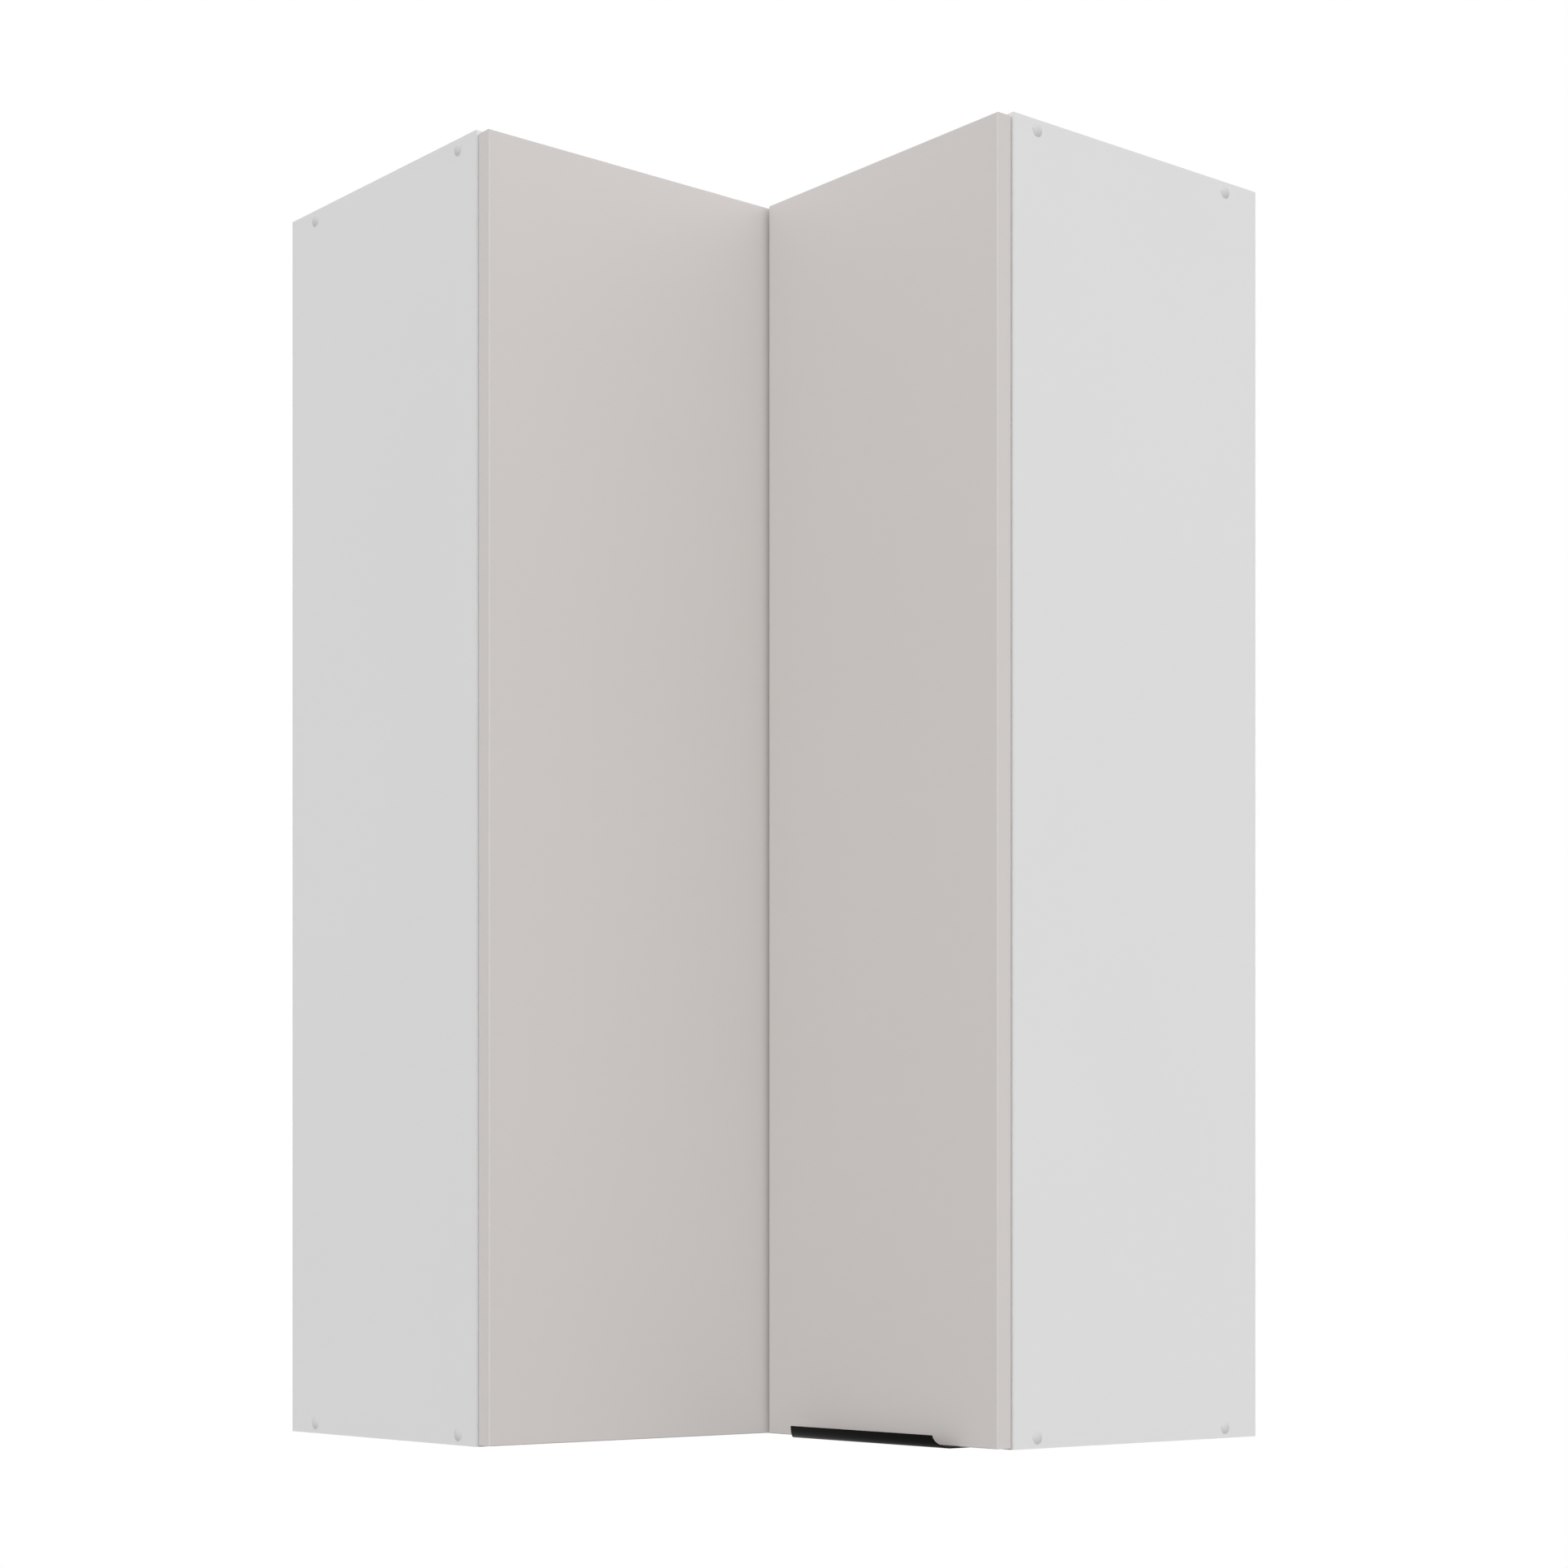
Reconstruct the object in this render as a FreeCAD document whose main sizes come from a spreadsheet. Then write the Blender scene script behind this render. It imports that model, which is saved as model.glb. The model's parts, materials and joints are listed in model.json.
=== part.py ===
"""Corner wall cabinet with an L-shaped plan and a folding pair of doors.

Millimetres, +Z up. The sizes are worked out from the corner where the two end
panels' outer faces would meet: x and y grow from there towards the two walls.
The frame's origin is under the middle of the whole plan, at the carcass's underside.
The left wing stands along the wall at the largest y, the right wing along the wall
at the largest x. The left door hinges on the left side panel, and the right door
hangs on the left door at the inner corner, so both open from the one handle.
"""
import FreeCAD
import Part
import Sketcher
import math
import os
import re

Vector = FreeCAD.Vector
Rotation = FreeCAD.Rotation

# ---------------------------------------------------------------- driving sizes
SIZES = {
    # carcass
    "height": 1110.0,            # carcass, top face to underside
    "side_depth": 300.0,         # end panel, front edge to wall
    "wing_front": 319.0,         # end panel's outer face to the other wing's front plane
    "board": 18.0,               # carcass boards
    "back_board": 3.0,           # hardboard backs
    "back_recess": 17.0,         # room between a back and its wall
    "groove_depth": 8.0,
    "groove_play": 0.1,
    "stile_width": 80.0,         # corner stiles behind the backs
    "stile_board": 16.0,
    # doors
    "door_board": 16.0,
    "door_gap": 0.8,             # door's back to carcass front
    "door_inset": 1.5,           # door's outer edge to end panel's outer face
    "door_top_gap": 3.5,
    "door_bottom_gap": 1.2,
    "inner_gap": 4.3,            # right door's end to the left door's face
    "door_end_gap": 1.0,         # left door's end to the right wing's front plane
    "door_round": 0.8,           # radius of the doors' edge banding
    # shelves
    "shelf_board": 18.0,
    "shelf_setback": 20.0,
    "shelf_play": 0.5,
    "shelf_pin_radius": 2.45,
    "shelf_pin_seat": 10.0,
    "shelf_pin_reach": 8.0,
    "shelf_pin_margin": 37.0,    # pin rows to the front edge and to the back
    "hole_pitch": 32.0,
    "pin_play": 0.05,
    # end panel screws and their cover caps
    "screw_front_margin": 28.0,
    "screw_rear_margin": 40.0,
    "screw_head_radius": 4.9,
    "screw_head_length": 3.0,
    "screw_shank_radius": 3.45,
    "screw_thread_radius": 2.5,
    "screw_thread_length": 33.0,
    "screw_play": 0.05,
    "socket_radius": 2.1,
    "socket_depth": 2.5,
    "cap_radius": 5.5,
    "cap_rise": 1.2,
    "cap_stem_length": 2.2,
    # concealed hinges: the cup
    "hinge_margin": 100.0,       # end hinges to the carcass's top and underside
    "cup_margin": 22.0,          # cup centre to the hung door's edge
    "cup_radius": 17.5,
    "cup_depth": 12.0,
    "cup_play": 0.05,
    "cup_wall": 1.0,
    "cup_well_front": 15.2,      # the cup's square well, either side of the cup's middle
    "cup_well_rear": 14.8,
    "cup_well_half": 5.0,
    "cup_flange": 1.0,
    "cup_flange_start": 2.0,
    "cup_flange_end": 17.0,
    "cup_flange_half": 28.0,
    "cup_screw_offset": 9.5,
    "cup_screw_half": 22.5,
    # concealed hinges: pins, links and arms
    "cup_pin_along": 22.5,       # cup pin from the door's edge
    "cup_pin_deep": 9.8,         # cup pin from the door's face
    "link_reach": 37.0,          # cup pin to middle pin
    "link_angle": 38.0,
    "hinge_pin_radius": 1.5,
    "hinge_pin_play": 0.05,
    "open_pivot_play": 0.15,
    "front_link_half": 2.75,
    "front_link_thick": 6.4,
    "rear_link_half": 3.4,
    "rear_link_inside": 9.0,
    "rear_link_outside": 12.0,
    "arm_sheet": 1.2,
    "arm_width": 16.4,
    "arm_rise": 9.7,
    "arm_ear": 4.5,
    "arm_start": 19.2,           # channel's front end behind the carcass front
    "arm_end": 71.2,
    "corner_arm_tail": 35.0,
    # mounting plates
    "plate_sheet": 2.0,
    "plate_margin": 37.0,        # plate centre behind the carcass front
    "corner_plate_margin": 12.0,  # plate centre from the right door's face plane
    "plate_wing_half": 23.0,
    "plate_wing_width": 14.0,
    "plate_rail_front": 14.0,
    "plate_rail_rear": 22.0,
    "plate_screw_half": 16.0,
    "plate_play": 0.1,
    # wood screws of the fittings
    "fitting_screw_radius": 1.9,
    "fitting_screw_length": 10.0,
    "fitting_head_radius": 3.6,
    "fitting_head_length": 1.5,
    # edge handle
    "handle_sheet": 1.2,
    "handle_base_half": 102.0,
    "handle_lip_half": 91.8,
    "handle_reach": 22.0,
    "handle_bend": 12.0,
    "handle_lip_angle": 85.0,
    "handle_flange": 18.0,
    "handle_play": 0.1,
    "handle_screw_half": 80.0,
    "handle_screw_rise": 11.0,
    # hangers
    "hanger_drop": 12.0,         # hanger's top below the top panel
    "hanger_height": 56.0,
    "hanger_length": 42.0,
    "hanger_thick": 12.0,
    "hanger_off_back": 1.5,
    "hook_sheet": 2.5,
    "hook_offset": 4.0,
    "hook_height": 14.0,
    "hook_drop": 14.0,
    "hook_lip": 4.0,
    "hook_play": 0.1,
    "hook_rise": 20.0,
    "cover_wall": 1.0,
    "cover_play": 0.3,
    # door bumpers on the right side's front edge
    "bumper_radius": 4.0,
    "bumper_height": 0.6,
    "bumper_margin": 60.0,
}

# Sizes that follow from the driving ones.
DERIVED = {
    "plan": "side_depth + wing_front",
    "shift": "(plan - cap_rise) / 2",
    "back_face": "plan - back_recess - back_board",
    "back_rear": "plan - back_recess",
    "groove_end": "board - groove_depth",
    "door_back": "wing_front - door_gap",
    "door_face": "door_back - door_board",
    "door_top": "height - door_top_gap",
    "left_door_end": "wing_front - door_end_gap",
    "right_door_end": "door_face - inner_gap",
    "shelf_room": "(height - 2 * board - 3 * shelf_board) / 4",
    "pin_front_row": "wing_front + shelf_pin_margin",
    "pin_rear_row": "back_face - shelf_pin_margin",
    "pin_bore": "shelf_pin_radius + pin_play",
    "cup_outer": "cup_radius - cup_play",
    "arm_pin_along": "link_reach * cos(link_angle)",
    "arm_pin_deep": "link_reach * sin(link_angle)",
    "cup_link": "sqrt(cup_pin_along * cup_pin_along + cup_pin_deep * cup_pin_deep)",
    "front_plane": "door_board + door_gap",
    "fitting_bore": "fitting_screw_radius + screw_play",
    "handle_middle": "(door_inset + right_door_end) / 2",
    "hanger_top": "height - board - hanger_drop",
    "hanger_rear": "back_face - hanger_off_back",
    "hook_top": "hanger_top - hook_rise + hook_height",
    "hook_low": "hanger_top - hook_rise",
}

WORD = re.compile(r"[a-z][a-z_0-9]*")

doc = FreeCAD.newDocument("CornerWallCabinet")
sheet = doc.addObject("Spreadsheet::Sheet", "Sizes")
for row, (alias, amount) in enumerate(SIZES.items(), start=1):
    sheet.set(f"A{row}", alias)
    sheet.set(f"B{row}", str(amount))
    sheet.setAlias(f"B{row}", alias)
doc.recompute()


def bound(formula):
    """Write a formula of named sizes as an expression on the sheet's cells."""
    def cell(match):
        word = match.group()
        if word in DERIVED:
            return f"({bound(DERIVED[word])})"
        return f"Sizes.{word}" if word in SIZES else word
    return WORD.sub(cell, str(formula))


def value(formula):
    """The number, in millimetres or degrees, that a formula gives now."""
    return float(sheet.evalExpression(bound(formula)))


# ---------------------------------------------------------------- modelling helpers
TURN = {
    "x": Rotation(Vector(0, 1, 0), 90),
    "y": Rotation(Vector(1, 0, 0), -90),
    "z": Rotation(),
}
NODES = []


def node(item, name):
    """Label a finished sub-part, so that it is checked and exported."""
    item.Label = name
    NODES.append(item)
    return item


def block(name, x, y, z):
    """A box between two formulas on each axis, in the corner's own distances."""
    box = doc.addObject("Part::Box", name)
    spans = (("Length", "x", x), ("Width", "y", y), ("Height", "z", z))
    for side, axis, (low, high) in spans:
        start = low if axis == "z" else f"{low} - shift"
        box.setExpression(side, bound(f"({high}) - ({low})"))
        box.setExpression(f"Placement.Base.{axis}", bound(start))
    return box


def rod(name, axis, start, radius, length, sides=0):
    """A cylinder that runs from start along an axis, or a prism whose flats touch it."""
    bar = doc.addObject("Part::Prism" if sides else "Part::Cylinder", name)
    bar.Placement = FreeCAD.Placement(Vector(), TURN[axis])
    if sides:
        bar.Polygon = sides
        bar.setExpression("Circumradius", bound(f"({radius}) / cos(180 / {sides})"))
    else:
        bar.setExpression("Radius", bound(radius))
    bar.setExpression("Height", bound(length))
    for place, amount in zip("xyz", start):
        shifted = amount if place == "z" else f"{amount} - shift"
        bar.setExpression(f"Placement.Base.{place}", bound(shifted))
    return bar


def cut(name, base, cutters):
    """The base less all its cutters."""
    tool = cutters[0]
    if len(cutters) > 1:
        tool = doc.addObject("Part::MultiFuse", f"{name}_cutters")
        tool.Shapes = cutters
    result = doc.addObject("Part::Cut", name)
    result.Base = base
    result.Tool = tool
    return result


def fuse(name, parts):
    """One solid from parts that meet."""
    result = doc.addObject("Part::MultiFuse", name)
    result.Shapes = parts
    return result


def hold(sketch, edge, end, axis, formula):
    """Fix one coordinate of a sketch point to a formula."""
    if formula == "0":
        sketch.addConstraint(Sketcher.Constraint("PointOnObject", edge, end, -2 if axis == "x" else -1))
        return
    kind = "DistanceX" if axis == "x" else "DistanceY"
    fixed = sketch.addConstraint(Sketcher.Constraint(kind, -1, 1, edge, end, value(formula)))
    sketch.setExpression(f"Constraints[{fixed}]", bound(formula))


def outline(sketch, corners):
    """Draw a closed outline. A corner is (x, y) or (x, y, arc), where arc describes the
    edge that leaves it: (centre x, centre y, which coordinate fixes the arc's far end).
    Arcs run counter-clockwise, and so does the outline."""
    points = [Vector(value(corner[0]), value(corner[1]), 0) for corner in corners]
    edges = []
    for place, corner in enumerate(corners):
        start, end = points[place], points[(place + 1) % len(points)]
        if len(corner) == 2:
            edges.append(sketch.addGeometry(Part.LineSegment(start, end), False))
            continue
        centre = Vector(value(corner[2][0]), value(corner[2][1]), 0)
        ring = Part.Circle(centre, Vector(0, 0, 1), (start - centre).Length)
        first = math.atan2(start.y - centre.y, start.x - centre.x)
        last = math.atan2(end.y - centre.y, end.x - centre.x)
        if last <= first:
            last += 2 * math.pi
        edges.append(sketch.addGeometry(Part.ArcOfCircle(ring, first, last), False))
    for place, edge in enumerate(edges):
        after = edges[(place + 1) % len(edges)]
        sketch.addConstraint(Sketcher.Constraint("Coincident", edge, 2, after, 1))
    for place, corner in enumerate(corners):
        before = corners[place - 1]
        held = before[2][2] if len(before) == 3 else "xy"
        for axis in held:
            hold(sketch, edges[place], 1, axis, corner["xy".index(axis)])
        if len(corner) == 3:
            hold(sketch, edges[place], 3, "x", corner[2][0])
            hold(sketch, edges[place], 3, "y", corner[2][1])


def circle(sketch, x, y, radius):
    """Draw a circle at formulas."""
    ring = Part.Circle(Vector(value(x), value(y), 0), Vector(0, 0, 1), value(radius))
    edge = sketch.addGeometry(ring, False)
    hold(sketch, edge, 3, "x", x)
    hold(sketch, edge, 3, "y", y)
    size = sketch.addConstraint(Sketcher.Constraint("Radius", edge, value(radius)))
    sketch.setExpression(f"Constraints[{size}]", bound(radius))


def polygon(sketch, x, y, radius, sides):
    """Draw a regular polygon whose flats touch the circle of that radius."""
    reach = f"({radius}) / cos(180 / {sides})"
    corners = [(f"{x} + {reach} * cos({360 * turn / sides})", f"{y} + {reach} * sin({360 * turn / sides})")
               for turn in range(sides)]
    outline(sketch, corners)


def body_at(name, place, angle=0):
    """A body whose own origin stands at place, turned about the vertical."""
    body = doc.addObject("PartDesign::Body", name)
    body.Placement = FreeCAD.Placement(Vector(), Rotation(Vector(0, 0, 1), angle))
    for axis, formula in zip("xyz", place):
        shifted = formula if axis == "z" else f"{formula} - shift"
        body.setExpression(f"Placement.Base.{axis}", bound(shifted))
    return body


def sketch_in(body, name, plane, offset="0"):
    """A sketch on one of the body's own origin planes, moved along its normal."""
    sketch = body.newObject("Sketcher::SketchObject", name)
    support = next(item for item in body.Origin.OriginFeatures if item.Role == plane)
    sketch.AttachmentSupport = [(support, "")]
    sketch.MapMode = "FlatFace"
    if offset != "0":
        sketch.setExpression("AttachmentOffset.Base.z", bound(offset))
    return sketch


def grow(body, name, sketch, length, kind="Pad", symmetric=False, reverse=False):
    """Pad or pocket a sketch."""
    feature = body.newObject(f"PartDesign::{kind}", name)
    feature.Profile = sketch
    feature.setExpression("Length", bound(length))
    feature.SideType = "Symmetric" if symmetric else "One side"
    feature.Reversed = reverse
    return feature


def group(name, pattern, places):
    """Separate copies of one shape, each at its own placement, as one node."""
    item = doc.addObject("Part::Feature", name)
    copies = []
    for place in places:
        copy = pattern.copy()
        copy.Placement = place
        copies.append(copy)
    item.Shape = Part.makeCompound(copies)
    return node(item, name)


def spot(x, y, z, turn=Rotation()):
    """A placement from three formulas."""
    return FreeCAD.Placement(Vector(value(f"{x} - shift"), value(f"{y} - shift"), value(z)), turn)


def turned(half_section, sides):
    """A small solid about its own Z axis, with flat sides, from (radius, height) points
    whose first and last lie on the axis."""
    rings = []
    for radius, level in half_section:
        turns = [2 * math.pi * turn / sides for turn in range(sides)]
        rings.append([Vector(radius * math.cos(turn), radius * math.sin(turn), level) for turn in turns])
    faces = []
    for (first, second), (low, high) in zip(zip(half_section, half_section[1:]), zip(rings, rings[1:])):
        if first[1] == second[1]:
            outer, inner = (low, high) if first[0] > second[0] else (high, low)
            disc = Part.Face(Part.makePolygon(outer + outer[:1]))
            if min(first[0], second[0]) > 0:
                disc = disc.cut(Part.Face(Part.makePolygon(inner + inner[:1])))
            faces += disc.Faces
            continue
        for place in range(sides):
            after = (place + 1) % sides
            loop = [low[place], low[after]] if first[0] > 0 else [low[place]]
            loop += [high[after], high[place]] if second[0] > 0 else [high[place]]
            faces.append(Part.Face(Part.makePolygon(loop + loop[:1])))
    shell = Part.makeShell(faces)
    shell.sewShape()
    return Part.makeSolid(shell)


def wing(side, across, deep):
    """Plan coordinates from a wing's own: across its front, and deep towards its wall."""
    return (across, deep) if side == "left" else (deep, across)


# Small repeated round pieces and their bores have flat sides: this many.
CAP_SIDES = 20
PIN_SIDES = 8
SCREW_SIDES = 6
WOOD_SCREW_SIDES = 6
SCREW_HEAD_SIDES = 10
BUMPER_SIDES = 16
CUP_SIDES = 24
LINK_HOLE_SIDES = 8

ACROSS = {"left": "x", "right": "y"}
DEEP = {"left": "y", "right": "x"}
SHELVES = ("lower", "middle", "upper")
SHELF_LEVEL = {
    name: f"board + {count} * shelf_room + {count - 1} * shelf_board"
    for count, name in enumerate(SHELVES, start=1)
}
HINGES = {
    "low": "hinge_margin",
    "middle": "board + 2.5 * shelf_room + 2 * shelf_board",
    "top": "height - hinge_margin",
}


# ---------------------------------------------------------------- end panels
def end_panel(side):
    """One end panel: groove for its back, shelf pin holes, screw holes, plate holes."""
    name = f"{side}_side"
    u_span, v_span = ("0", "board"), ("wing_front", "plan")
    blank = block(f"{name}_blank", *wing(side, u_span, v_span), ("0", "height"))
    groove = wing(side, ("groove_end", "board"), ("back_face - groove_play", "back_rear + groove_play"))
    cutters = [block(f"{name}_groove", *groove, ("groove_end", "height - groove_end"))]
    for shelf, level in SHELF_LEVEL.items():
        for row in ("pin_front_row", "pin_rear_row"):
            for step in (-1, 0, 1):
                start = wing(side, "board - shelf_pin_seat", row)
                centre = f"{level} - shelf_pin_radius + {step} * hole_pitch"
                cutters.append(rod(f"{name}_{shelf}_pin_hole", ACROSS[side], (*start, centre),
                                   "pin_bore", "shelf_pin_seat", PIN_SIDES))
    for level in ("board / 2", "height - board / 2"):
        for deep in ("wing_front + screw_front_margin", "plan - screw_rear_margin"):
            start = (*wing(side, "0", deep), level)
            cutters.append(rod(f"{name}_shank_hole", ACROSS[side], start,
                               "screw_shank_radius + screw_play", "board", SCREW_SIDES))
            cutters.append(rod(f"{name}_head_hole", ACROSS[side], start,
                               "screw_head_radius + screw_play", "screw_head_length + screw_play",
                               SCREW_SIDES))
    if side == "left":
        for hinge, level in HINGES.items():
            for way in (-1, 1):
                start = ("board - fitting_screw_length", "wing_front + plate_margin",
                         f"{level} + {way} * plate_screw_half")
                cutters.append(rod(f"{name}_{hinge}_plate_hole", "x", start,
                                   "fitting_bore", "fitting_screw_length", WOOD_SCREW_SIDES))
    return node(cut(name, blank, cutters), name)


# ---------------------------------------------------------------- top, bottom and shelves
def l_plate(name, edge, front, rear, level, thick):
    """A board with an L-shaped plan, the notch at the inner corner."""
    plan_sketch = doc.addObject("Sketcher::SketchObject", f"{name}_plan")
    near, notch, far = (f"{amount} - shift" for amount in (edge, front, rear))
    outline(plan_sketch, [(near, notch), (notch, notch), (notch, near),
                          (far, near), (far, far), (near, far)])
    plan_sketch.setExpression("Placement.Base.z", bound(level))
    plate = doc.addObject("Part::Extrusion", f"{name}_blank")
    plate.Base = plan_sketch
    plate.DirMode = "Custom"
    plate.Dir = Vector(0, 0, 1)
    plate.setExpression("LengthFwd", bound(thick))
    plate.Solid = True
    return plate


def closing_panel(name, level, groove_span):
    """Top or bottom panel: an L between the end panels, grooved for the backs."""
    blank = l_plate(name, "board", "wing_front", "plan", level, "board")
    cutters = []
    for side in ("left", "right"):
        run = wing(side, ("board", "back_rear + groove_play"),
                   ("back_face - groove_play", "back_rear + groove_play"))
        cutters.append(block(f"{name}_{side}_groove", *run, groove_span))
        for deep in ("wing_front + screw_front_margin", "plan - screw_rear_margin"):
            start = (*wing(side, "board", deep), f"{level} + board / 2")
            cutters.append(rod(f"{name}_{side}_pilot", ACROSS[side], start, "screw_thread_radius + screw_play",
                               "screw_thread_length + screw_play", SCREW_SIDES))
    return node(cut(name, blank, cutters), name)


def shelf(position):
    """One loose shelf, set back from the fronts, resting on pins."""
    name = f"{position}_shelf"
    plate = l_plate(name, "board + shelf_play", "wing_front + shelf_setback",
                    "back_face - shelf_play", SHELF_LEVEL[position], "shelf_board")
    return node(plate, name)


def shelf_pins():
    """Steel pins: two rows in each end panel and one through each back by the corner."""
    inside, outside = value("shelf_pin_seat - pin_play"), value("shelf_pin_reach")
    radius = value("shelf_pin_radius")
    pin = turned([(0, -inside), (radius, -inside), (radius, outside), (0, outside)], PIN_SIDES)
    places = []
    for level in SHELF_LEVEL.values():
        centre = f"{level} - shelf_pin_radius"
        for row in ("pin_front_row", "pin_rear_row"):
            places.append(spot("board", row, centre, TURN["x"]))
            places.append(spot(row, "board", centre, TURN["y"]))
        corner = "back_rear - stile_width / 2"
        places.append(spot(corner, "back_face", centre, Rotation(Vector(1, 0, 0), 90)))
        places.append(spot("back_face", corner, centre, Rotation(Vector(0, 1, 0), -90)))
    return group("shelf_pins", pin, places)


# ---------------------------------------------------------------- backs and corner stiles
def back(side):
    """A hardboard back in its grooves; the right one butts against the left one."""
    name = f"{side}_back"
    far = "back_rear" if side == "left" else "back_face"
    span = ("groove_end + groove_play", far)
    blank = block(f"{name}_blank", *wing(side, span, ("back_face", "back_rear")),
                  ("groove_end + groove_play", "height - groove_end - groove_play"))
    cutters = []
    for level in SHELF_LEVEL.values():
        start = (*wing(side, "back_rear - stile_width / 2", "back_face"), f"{level} - shelf_pin_radius")
        cutters.append(rod(f"{name}_pin_hole", DEEP[side], start, "pin_bore", "back_board", PIN_SIDES))
    slot = wing(side, ("groove_end", "board + hook_offset + hook_sheet + 2"), ("back_face", "back_rear"))
    cutters.append(block(f"{name}_hook_slot", *slot, ("hook_low - hook_drop - 2", "hook_top + 2")))
    return node(cut(name, blank, cutters), name)


def stile(side):
    """A board behind the back at the rear corner, which stiffens it and holds the pins."""
    name = f"{side}_stile"
    far = "back_rear + stile_board" if side == "left" else "back_rear"
    blank = block(f"{name}_blank", *wing(side, ("back_rear - stile_width", far),
                                         ("back_rear", "back_rear + stile_board")),
                  ("board", "height - board"))
    cutters = []
    for level in SHELF_LEVEL.values():
        start = (*wing(side, "back_rear - stile_width / 2", "back_rear"), f"{level} - shelf_pin_radius")
        cutters.append(rod(f"{name}_pin_hole", DEEP[side], start, "pin_bore",
                           "shelf_pin_seat - back_board", PIN_SIDES))
    return node(cut(name, blank, cutters), name)


# ---------------------------------------------------------------- carcass screws and caps
def carcass_screw_places(side):
    """Where the end panel's four screws enter, pointing into the cabinet."""
    turn = TURN[ACROSS[side]]
    places = []
    for level in ("board / 2", "height - board / 2"):
        for deep in ("wing_front + screw_front_margin", "plan - screw_rear_margin"):
            places.append(spot(*wing(side, "0", deep), level, turn))
    return places


def carcass_screws():
    """One-piece connecting screws: sunk head with a socket, shank, thread core."""
    head, shank = value("screw_head_radius"), value("screw_shank_radius")
    thread, socket = value("screw_thread_radius"), value("socket_radius")
    neck, end_of_shank = value("screw_head_length"), value("board")
    tip = end_of_shank + value("screw_thread_length")
    screw = turned([(0, value("socket_depth")), (socket, value("socket_depth")), (socket, 0),
                    (head, 0), (head, neck), (shank, neck), (shank, end_of_shank - 1),
                    (thread, end_of_shank), (thread, tip - 3), (0, tip)], SCREW_SIDES)
    return group("carcass_screws", screw, carcass_screw_places("left") + carcass_screw_places("right"))


def screw_caps(side):
    """Plastic caps: a low dome over the screw head and a stem in its socket."""
    radius, rise, sunk = value("cap_radius"), value("cap_rise"), value("cap_stem_length")
    crown = (radius ** 2 + rise ** 2) / (2 * rise)
    spread = math.asin(radius / crown)
    on_dome = [(crown * math.sin(part * spread), crown - rise - crown * math.cos(part * spread))
               for part in (0, 1 / 3, 2 / 3)]
    dome = turned(on_dome + [(radius, 0), (0, 0)], CAP_SIDES)
    stem_radius = value("socket_radius - cup_play")
    stem = turned([(0, 0), (stem_radius, 0), (stem_radius, sunk), (0, sunk)], SCREW_SIDES)
    return group(f"{side}_screw_caps", dome.fuse(stem), carcass_screw_places(side))


# ---------------------------------------------------------------- hangers
def hanger(side):
    """A wall hanger in the top rear corner: housing, steel hook and slip-on cover."""
    name = f"{side}_hanger"
    deep = ("hanger_rear - hanger_length", "hanger_rear")
    tall = ("hanger_top - hanger_height", "hanger_top")
    housing = block(f"{name}_blank", *wing(side, ("board", "board + hanger_thick"), deep), tall)
    hook_across = ("board + hook_offset", "board + hook_offset + hook_sheet")
    slot_across = ("board + hook_offset - hook_play", "board + hook_offset + hook_sheet + hook_play")
    slot = block(f"{name}_slot", *wing(side, slot_across, ("hanger_rear - 0.6 * hanger_length", "hanger_rear")),
                 ("hook_low - hook_play", "hook_top + hook_play"))
    node(cut(f"{name}_housing", housing, [slot]), f"{name}_housing")
    shank = block(f"{name}_shank", *wing(side, hook_across, ("hanger_rear - 0.55 * hanger_length", "plan - 1")),
                  ("hook_low", "hook_top"))
    lip = block(f"{name}_lip", *wing(side, hook_across, ("plan - 1 - hook_lip", "plan - 1")),
                ("hook_low - hook_drop", "hook_low"))
    node(fuse(f"{name}_hook", [shank, lip]), f"{name}_hook")
    grown = "(cover_play + cover_wall)"
    outer = block(f"{name}_outer", *wing(side, ("board", f"board + hanger_thick + {grown}"),
                                         (f"hanger_rear - hanger_length - {grown}", "hanger_rear")),
                  (f"hanger_top - hanger_height - {grown}", f"hanger_top + {grown}"))
    inner = block(f"{name}_inner", *wing(side, ("board", "board + hanger_thick + cover_play"),
                                         ("hanger_rear - hanger_length - cover_play", "hanger_rear")),
                  ("hanger_top - hanger_height - cover_play", "hanger_top + cover_play"))
    return node(cut(f"{name}_cover", outer, [inner]), f"{name}_cover")


# ---------------------------------------------------------------- doors
def rounded_blank(name, x, y, z):
    """A board whose edge banding is rounded along both faces."""
    blank = block(f"{name}_board", x, y, z)
    doc.recompute()
    smooth = doc.addObject("Part::Fillet", f"{name}_blank")
    smooth.Base = blank
    radius = min(value("door_round"), 0.3 * value("door_board"))
    middles = [edge.CenterOfMass for edge in blank.Shape.Edges]
    centre = blank.Shape.CenterOfMass
    thin = "x" if blank.Length < blank.Width else "y"
    smooth.Edges = [(count, radius, radius) for count, middle in enumerate(middles, start=1)
                    if abs(getattr(middle - centre, thin)) > 1]
    return smooth


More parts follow.
